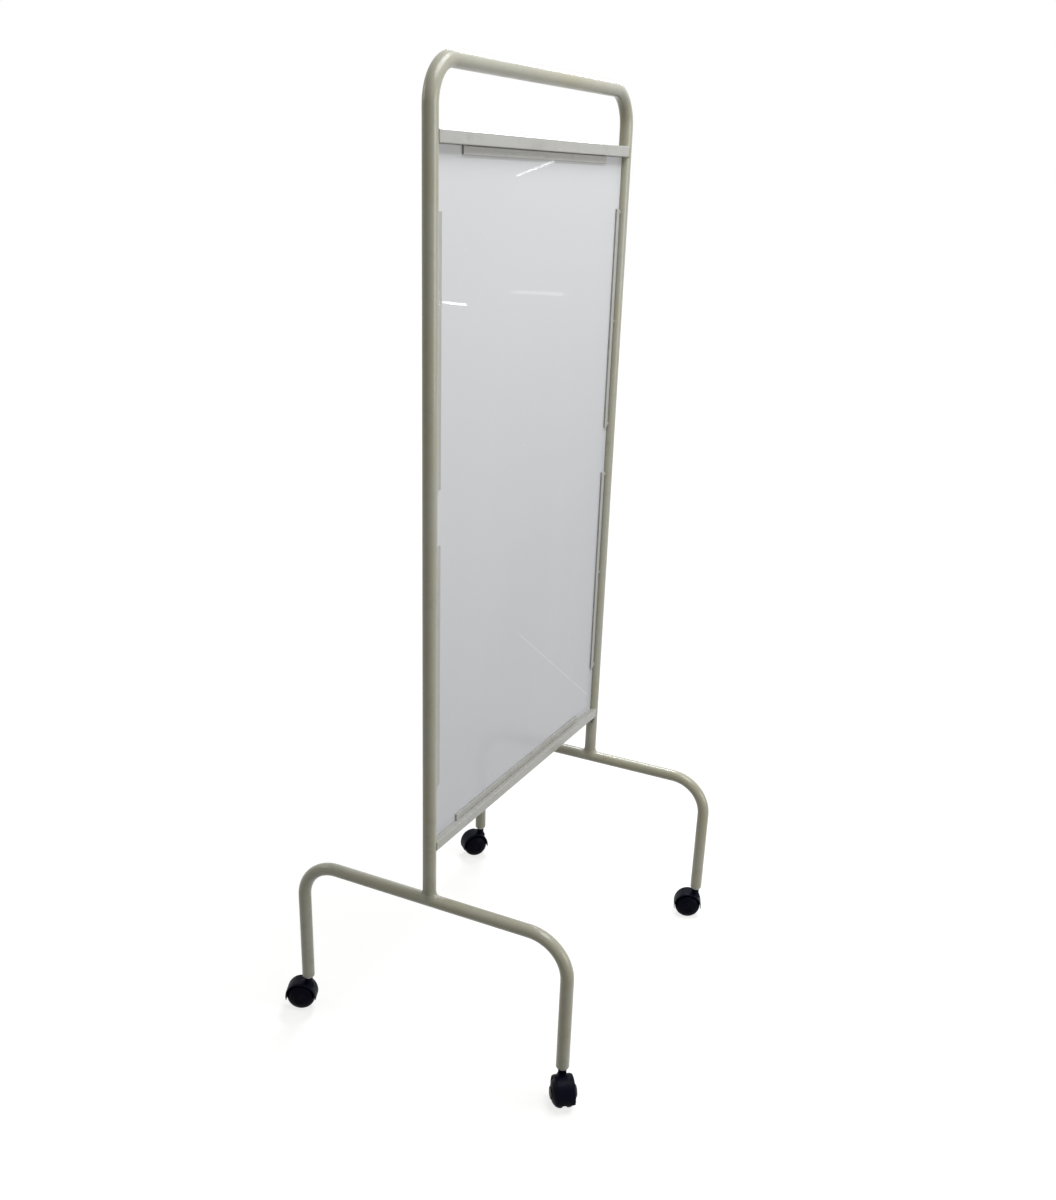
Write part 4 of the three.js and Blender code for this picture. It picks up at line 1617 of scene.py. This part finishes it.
    def wheel(self, sign: int) -> Shape:
        """Builds a wheel with a domed face, a hub cap line and a tread.

        Args:
            sign: +1 for the wheel on the +Y side of the web, -1 for the other.

        Returns:
            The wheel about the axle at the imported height.
        """
        inner = self.web_half + 2 * self.sizes.gap
        radius = self.wheel_radius
        dome = smooth_line([(radius - drop, self.half_width - depth) for drop, depth in self.face], 5)
        groove = [(11.6, 24.93), (11.35, 24.45), (10.75, 24.45), (10.5, 24.95)]
        dome = [p for p in dome if p[0] > 12.0] + groove + [(5.0, 25.0), (4.4, 24.9), (3.6, 24.3), (2.0, 24.15)]
        tread = [(radius - 2.0, inner), (radius - 0.8, inner + 0.3), (radius - 0.2, inner + 1.1), (radius, inner + 2.0)]
        rim = [(0.0, inner + 1.2), (9.0, inner + 1.2), (9.6, inner + 0.2), (10.5, inner)]
        back = [(radius - 6.5, inner), (radius - 6.0, inner + 0.6), (radius - 5.0, inner + 0.6), (radius - 4.5, inner)]
        profile = [*rim, *back, *tread, *dome, (0.0, 24.1)]
        flip = Matrix.Rotation(-sign * math.pi / 2, 4, "X")
        return turned(profile, 72).moved(Matrix.Translation((self.trail, 0, self.wheel_radius)) @ flip)

    def tread_wear(self, seat: Matrix) -> Wear:
        """Gives the dust that a wheel picks up on its tread.

        Args:
            seat: The caster's place.

        Returns:
            Wear at a place.
        """
        back = seat.inverted()

        def wear(place: Vector) -> float:
            """Gives the wear at one place."""
            local = back @ place
            reach = math.hypot(local.x - self.trail, local.z - self.wheel_radius)
            return min(1.0, max(0.0, (reach - 24.5) / 4.0))

        return wear

    def build(self, shop: Workshop, prefix: str, seat: Matrix, hood: Shape) -> None:
        """Places one caster's pieces.

        Args:
            shop: Workshop to place them with.
            prefix: Caster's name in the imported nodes.
            seat: Its place and heading.
            hood: The moulded hood, shared by all casters.
        """
        name = f"{prefix}_socket"
        socket = self.socket().moved(seat).mesh(name, shop.origin)
        shop.place(name, socket, SOCKET, stands_for=[f"{prefix}_leg_socket"], wear=lambda _: 0.35)
        name = f"{prefix}_caster_body"
        body = hood.moved(seat).mesh(name, shop.origin, crease=50.0)
        low = self.wheel_radius + 6.0
        shop.place(
            name,
            body,
            HOOD,
            f"{prefix}_swivel",
            [f"{prefix}_hood"],
            lambda place: min(1.0, max(0.1, (low - place.z) / 12.0)),
        )
        for word, sign in (("a", 1), ("b", -1)):
            name = f"{prefix}_tread_{word}"
            mesh = self.wheel(sign).moved(seat).mesh(name, shop.origin)
            body_name = f"{prefix}_wheel_{word}"
            shop.place(name, mesh, WHEEL, body_name, [body_name], self.tread_wear(seat))
        for word in ("stem", "grip_ring", "axle"):
            shop.finish_node(f"{prefix}_{word}", STEEL)


@dataclass
class CasterSet:
    """The four casters and how each stands at rest.

    Attributes:
        sizes: Shared sizes.
        headings: Where each caster's wheels trail, in degrees from +X.
    """

    sizes: FrameSizes
    headings: dict[str, float] = field(
        default_factory=lambda: {"left_front": 217.0, "left_back": 115.0, "right_front": 111.0, "right_back": 137.0}
    )

    def build(self, shop: Workshop) -> None:
        """Places all casters.

        Args:
            shop: Workshop to place them with.
        """
        caster = Caster(self.sizes)
        hood = caster.hood()
        for side in Side:
            for end in End:
                prefix = f"{side.word}_{end.word}"
                foot = Matrix.Translation((side.value * self.sizes.upright_x, end.value * self.sizes.leg_y, 0))
                seat = foot @ Matrix.Rotation(math.radians(self.headings[prefix]), 4, "Z")
                caster.build(shop, prefix, seat, hood)


# ---------------------------------------------------------------- studio


@dataclass(frozen=True)
class Lamp:
    """A soft rectangular studio lamp.

    Attributes:
        name: Name of the lamp.
        place: Where it hangs, in metres.
        aim: Where it points, in metres.
        size: Width and height, in metres.
        power: Power in watts.
        colour: Colour of its light.
        roll: Turn about its own axis, in degrees.
    """

    name: str
    place: Colour
    aim: Colour
    size: Point2
    power: float
    colour: Colour = (1.0, 1.0, 1.0)
    roll: float = 0.0

    def hang(self, origin: Vector) -> None:
        """Hangs the lamp in the scene.

        Args:
            origin: Middle of the frame, in metres.
        """
        data = bpy.data.lights.new(self.name, "AREA")
        data.shape = "RECTANGLE"
        data.size, data.size_y = self.size
        data.energy = self.power
        data.color = self.colour
        lamp = bpy.data.objects.new(self.name, data)
        face = (Vector(self.aim) - Vector(self.place)).to_track_quat("-Z", "Y").to_matrix().to_4x4()
        turn = face @ Matrix.Rotation(math.radians(self.roll), 4, "Z")
        lamp.matrix_world = Matrix.Translation(origin + Vector(self.place)) @ turn
        lamp.visible_camera = False
        bpy.context.scene.collection.objects.link(lamp)


@dataclass
class Studio:
    """Pale floor, white surroundings and soft lamps.

    Attributes:
        floor_size: Width of the floor, in metres.
        floor_colour: Colour of the floor as it lights the object.
        floor_lift: White that the floor shows to the camera on top of its own light, near the middle and far off.
        lift_span: Distances from the middle, in metres, between which it rises.
        ambient: Colour of the even light from all round.
        ambient_level: Its level.
        lamps: The soft lamps.
    """

    floor_size: float = 40.0
    floor_colour: Colour = (0.3, 0.3, 0.29)
    floor_lift: tuple[float, float] = (0.76, 1.0)
    lift_span: tuple[float, float] = (1.3, 4.5)
    ambient: Colour = (1.0, 0.95, 0.76)
    ambient_level: float = 0.22
    lamps: tuple[Lamp, ...] = (
        Lamp("ceiling_lamp", (0.1, -1.2, 3.7), (0.0, -0.05, 1.0), (2.6, 1.4), 90.0, (0.965, 0.985, 1.03)),
        Lamp("front_lamp", (0.5, -4.2, 1.6), (-0.1, 0.0, 0.95), (2.4, 2.0), 70.0, (0.975, 0.985, 1.01)),
        Lamp("rear_lamp", (1.7, 0.65, 2.55), (0.0, 0.0, 1.5), (0.9, 0.7), 54.0, (0.95, 0.98, 1.08)),
        Lamp("back_lamp", (-1.5, 3.9, 3.0), (-0.2, 0.0, 1.3), (1.8, 1.4), 26.0, (1.0, 0.95, 0.8)),
        Lamp("near_glint", (2.296, -1.494, 1.146), (-0.29, 0.0, 1.415), (0.092, 0.009), 0.12, roll=-3.0),
        Lamp("middle_glint", (2.688, -1.326, 1.173), (0.01, 0.0, 1.413), (0.21, 0.014), 0.05, roll=-0.5),
        Lamp("upper_glint", (2.66, -1.342, 1.64), (-0.04, 0.0, 1.618), (0.16, 0.008), 0.085, roll=22.0),
    )

    @staticmethod
    def seen(tree: bpy.types.NodeTree) -> bpy.types.NodeSocket:
        """Gives 1 for rays from the camera, mirrors and glass, and 0 for light on surfaces.

        Args:
            tree: Node tree to work in.

        Returns:
            The value.
        """
        path = tree.nodes.new("ShaderNodeLightPath")
        total = path.outputs["Is Camera Ray"]
        for word in ("Is Glossy Ray", "Is Transmission Ray"):
            plus = tree.nodes.new("ShaderNodeMath")
            plus.operation = "MAXIMUM"
            tree.links.new(total, plus.inputs[0])
            tree.links.new(path.outputs[word], plus.inputs[1])
            total = plus.outputs[0]
        return total

    def floor_material(self) -> bpy.types.Material:
        """Builds the floor's material."""
        material = bpy.data.materials.new("pale_floor")
        material.use_nodes = True
        tree = material.node_tree
        tree.nodes.clear()
        output = tree.nodes.new("ShaderNodeOutputMaterial")
        matt = tree.nodes.new("ShaderNodeBsdfDiffuse")
        matt.inputs["Color"].default_value = (*self.floor_colour, 1.0)
        lift = tree.nodes.new("ShaderNodeEmission")
        lift.inputs["Color"].default_value = (1.0, 1.0, 1.0, 1.0)
        level = tree.nodes.new("ShaderNodeMath")
        level.operation = "MULTIPLY"
        tree.links.new(self.seen(tree), level.inputs[0])
        place = tree.nodes.new("ShaderNodeTexCoord")
        span = tree.nodes.new("ShaderNodeVectorMath")
        span.operation = "LENGTH"
        tree.links.new(place.outputs["Object"], span.inputs[0])
        rise = tree.nodes.new("ShaderNodeMapRange")
        rise.interpolation_type = "SMOOTHSTEP"
        numbers = (*self.lift_span, *self.floor_lift)
        for key, number in zip(("From Min", "From Max", "To Min", "To Max"), numbers, strict=True):
            rise.inputs[key].default_value = number
        tree.links.new(span.outputs["Value"], rise.inputs["Value"])
        tree.links.new(rise.outputs["Result"], level.inputs[1])
        tree.links.new(level.outputs[0], lift.inputs["Strength"])
        both = tree.nodes.new("ShaderNodeAddShader")
        tree.links.new(matt.outputs[0], both.inputs[0])
        tree.links.new(lift.outputs[0], both.inputs[1])
        tree.links.new(both.outputs[0], output.inputs["Surface"])
        return material

    def surroundings(self) -> None:
        """Sets the world: white where it is seen, an even soft light elsewhere."""
        world = bpy.data.worlds.new("studio")
        bpy.context.scene.world = world
        world.use_nodes = True
        tree = world.node_tree
        tree.nodes.clear()
        output = tree.nodes.new("ShaderNodeOutputWorld")
        mixer = tree.nodes.new("ShaderNodeMixShader")
        soft = tree.nodes.new("ShaderNodeBackground")
        soft.inputs["Color"].default_value = (*self.ambient, 1.0)
        soft.inputs["Strength"].default_value = self.ambient_level
        white = tree.nodes.new("ShaderNodeBackground")
        white.inputs["Color"].default_value = (1.0, 1.0, 1.0, 1.0)
        white.inputs["Strength"].default_value = 1.0
        tree.links.new(self.seen(tree), mixer.inputs[0])
        tree.links.new(soft.outputs[0], mixer.inputs[1])
        tree.links.new(white.outputs[0], mixer.inputs[2])
        tree.links.new(mixer.outputs[0], output.inputs["Surface"])

    def build(self, origin: Vector) -> None:
        """Lays the floor, sets the surroundings and hangs the lamps.

        Args:
            origin: Middle of the frame, in metres.
        """
        half = self.floor_size / 2
        mesh = bpy.data.meshes.new("floor")
        corners = [(-half, -half, 0), (half, -half, 0), (half, half, 0), (-half, half, 0)]
        mesh.from_pydata(corners, [], [(0, 1, 2, 3)])
        mesh.materials.append(self.floor_material())
        floor = bpy.data.objects.new("floor", mesh)
        bpy.context.scene.collection.objects.link(floor)
        self.surroundings()
        for lamp in self.lamps:
            lamp.hang(origin)
            LOG.info("%s: %.2f W", lamp.name, lamp.power)


@dataclass(frozen=True)
class Viewpoint:
    """The camera at the photograph's viewing angle.

    Attributes:
        place: Where it stands, in millimetres from the frame's middle.
        yaw: Heading from +Y towards +X, in radians.
        pitch: How far it looks down, in radians.
        roll: Its turn about its own axis, in radians.
        focal: Focal length in pixels of the photograph.
        centre: Where its axis meets the photograph, in pixels.
        frame: Width and height of the photograph, in pixels.
        sensor: Long side of the sensor, in millimetres.
    """

    place: Colour = (-2066.3506, -1023.9362, 1598.5817)
    yaw: float = 1.10707873
    pitch: float = 0.409166411
    roll: float = 0.0324192763
    focal: float = 1226.47661
    centre: Point2 = (518.330271, 711.520117)
    frame: Point2 = (1056.0, 1200.0)
    sensor: float = 36.0

    def build(self, origin: Vector) -> None:
        """Sets up the camera.

        Args:
            origin: Middle of the frame, in metres.
        """
        flat = math.cos(self.pitch)
        ahead = Vector((math.sin(self.yaw) * flat, math.cos(self.yaw) * flat, -math.sin(self.pitch)))
        right = ahead.cross(Vector((0, 0, 1))).normalized()
        up = right.cross(ahead)
        c, s = math.cos(self.roll), math.sin(self.roll)
        axes = (right * c + up * s, up * c - right * s, -ahead)
        turn = Matrix((axes[0], axes[1], axes[2])).transposed().to_4x4()
        data = bpy.data.cameras.new("camera")
        long_side = max(self.frame)
        data.sensor_width = self.sensor
        data.lens = self.focal / long_side * self.sensor
        data.shift_x = (self.frame[0] / 2 - self.centre[0]) / long_side
        data.shift_y = (self.centre[1] - self.frame[1] / 2) / long_side
        data.clip_start, data.clip_end = 0.05, 100.0
        camera = bpy.data.objects.new("camera", data)
        camera.matrix_world = Matrix.Translation(origin + Vector(self.place) * MM) @ turn
        bpy.context.scene.collection.objects.link(camera)
        bpy.context.scene.camera = camera


def main() -> None:
    """Builds the dressed partition, its studio and camera."""
    logging.basicConfig(level=logging.INFO, format="%(message)s")
    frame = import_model()
    low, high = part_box("hoop_tube")
    origin = Vector(((low.x + high.x) / 2, (low.y + high.y) / 2, 0))
    shop = Workshop(origin, frame["nodes"])
    sizes = FrameSizes()
    Viewpoint().build(origin)
    Frame(sizes).build(shop)
    Panel(sizes).build(shop)
    CasterSet(sizes).build(shop)
    Studio().build(origin)
    bpy.context.scene.view_settings.view_transform = "Standard"


if __name__ == "__main__":
    main()
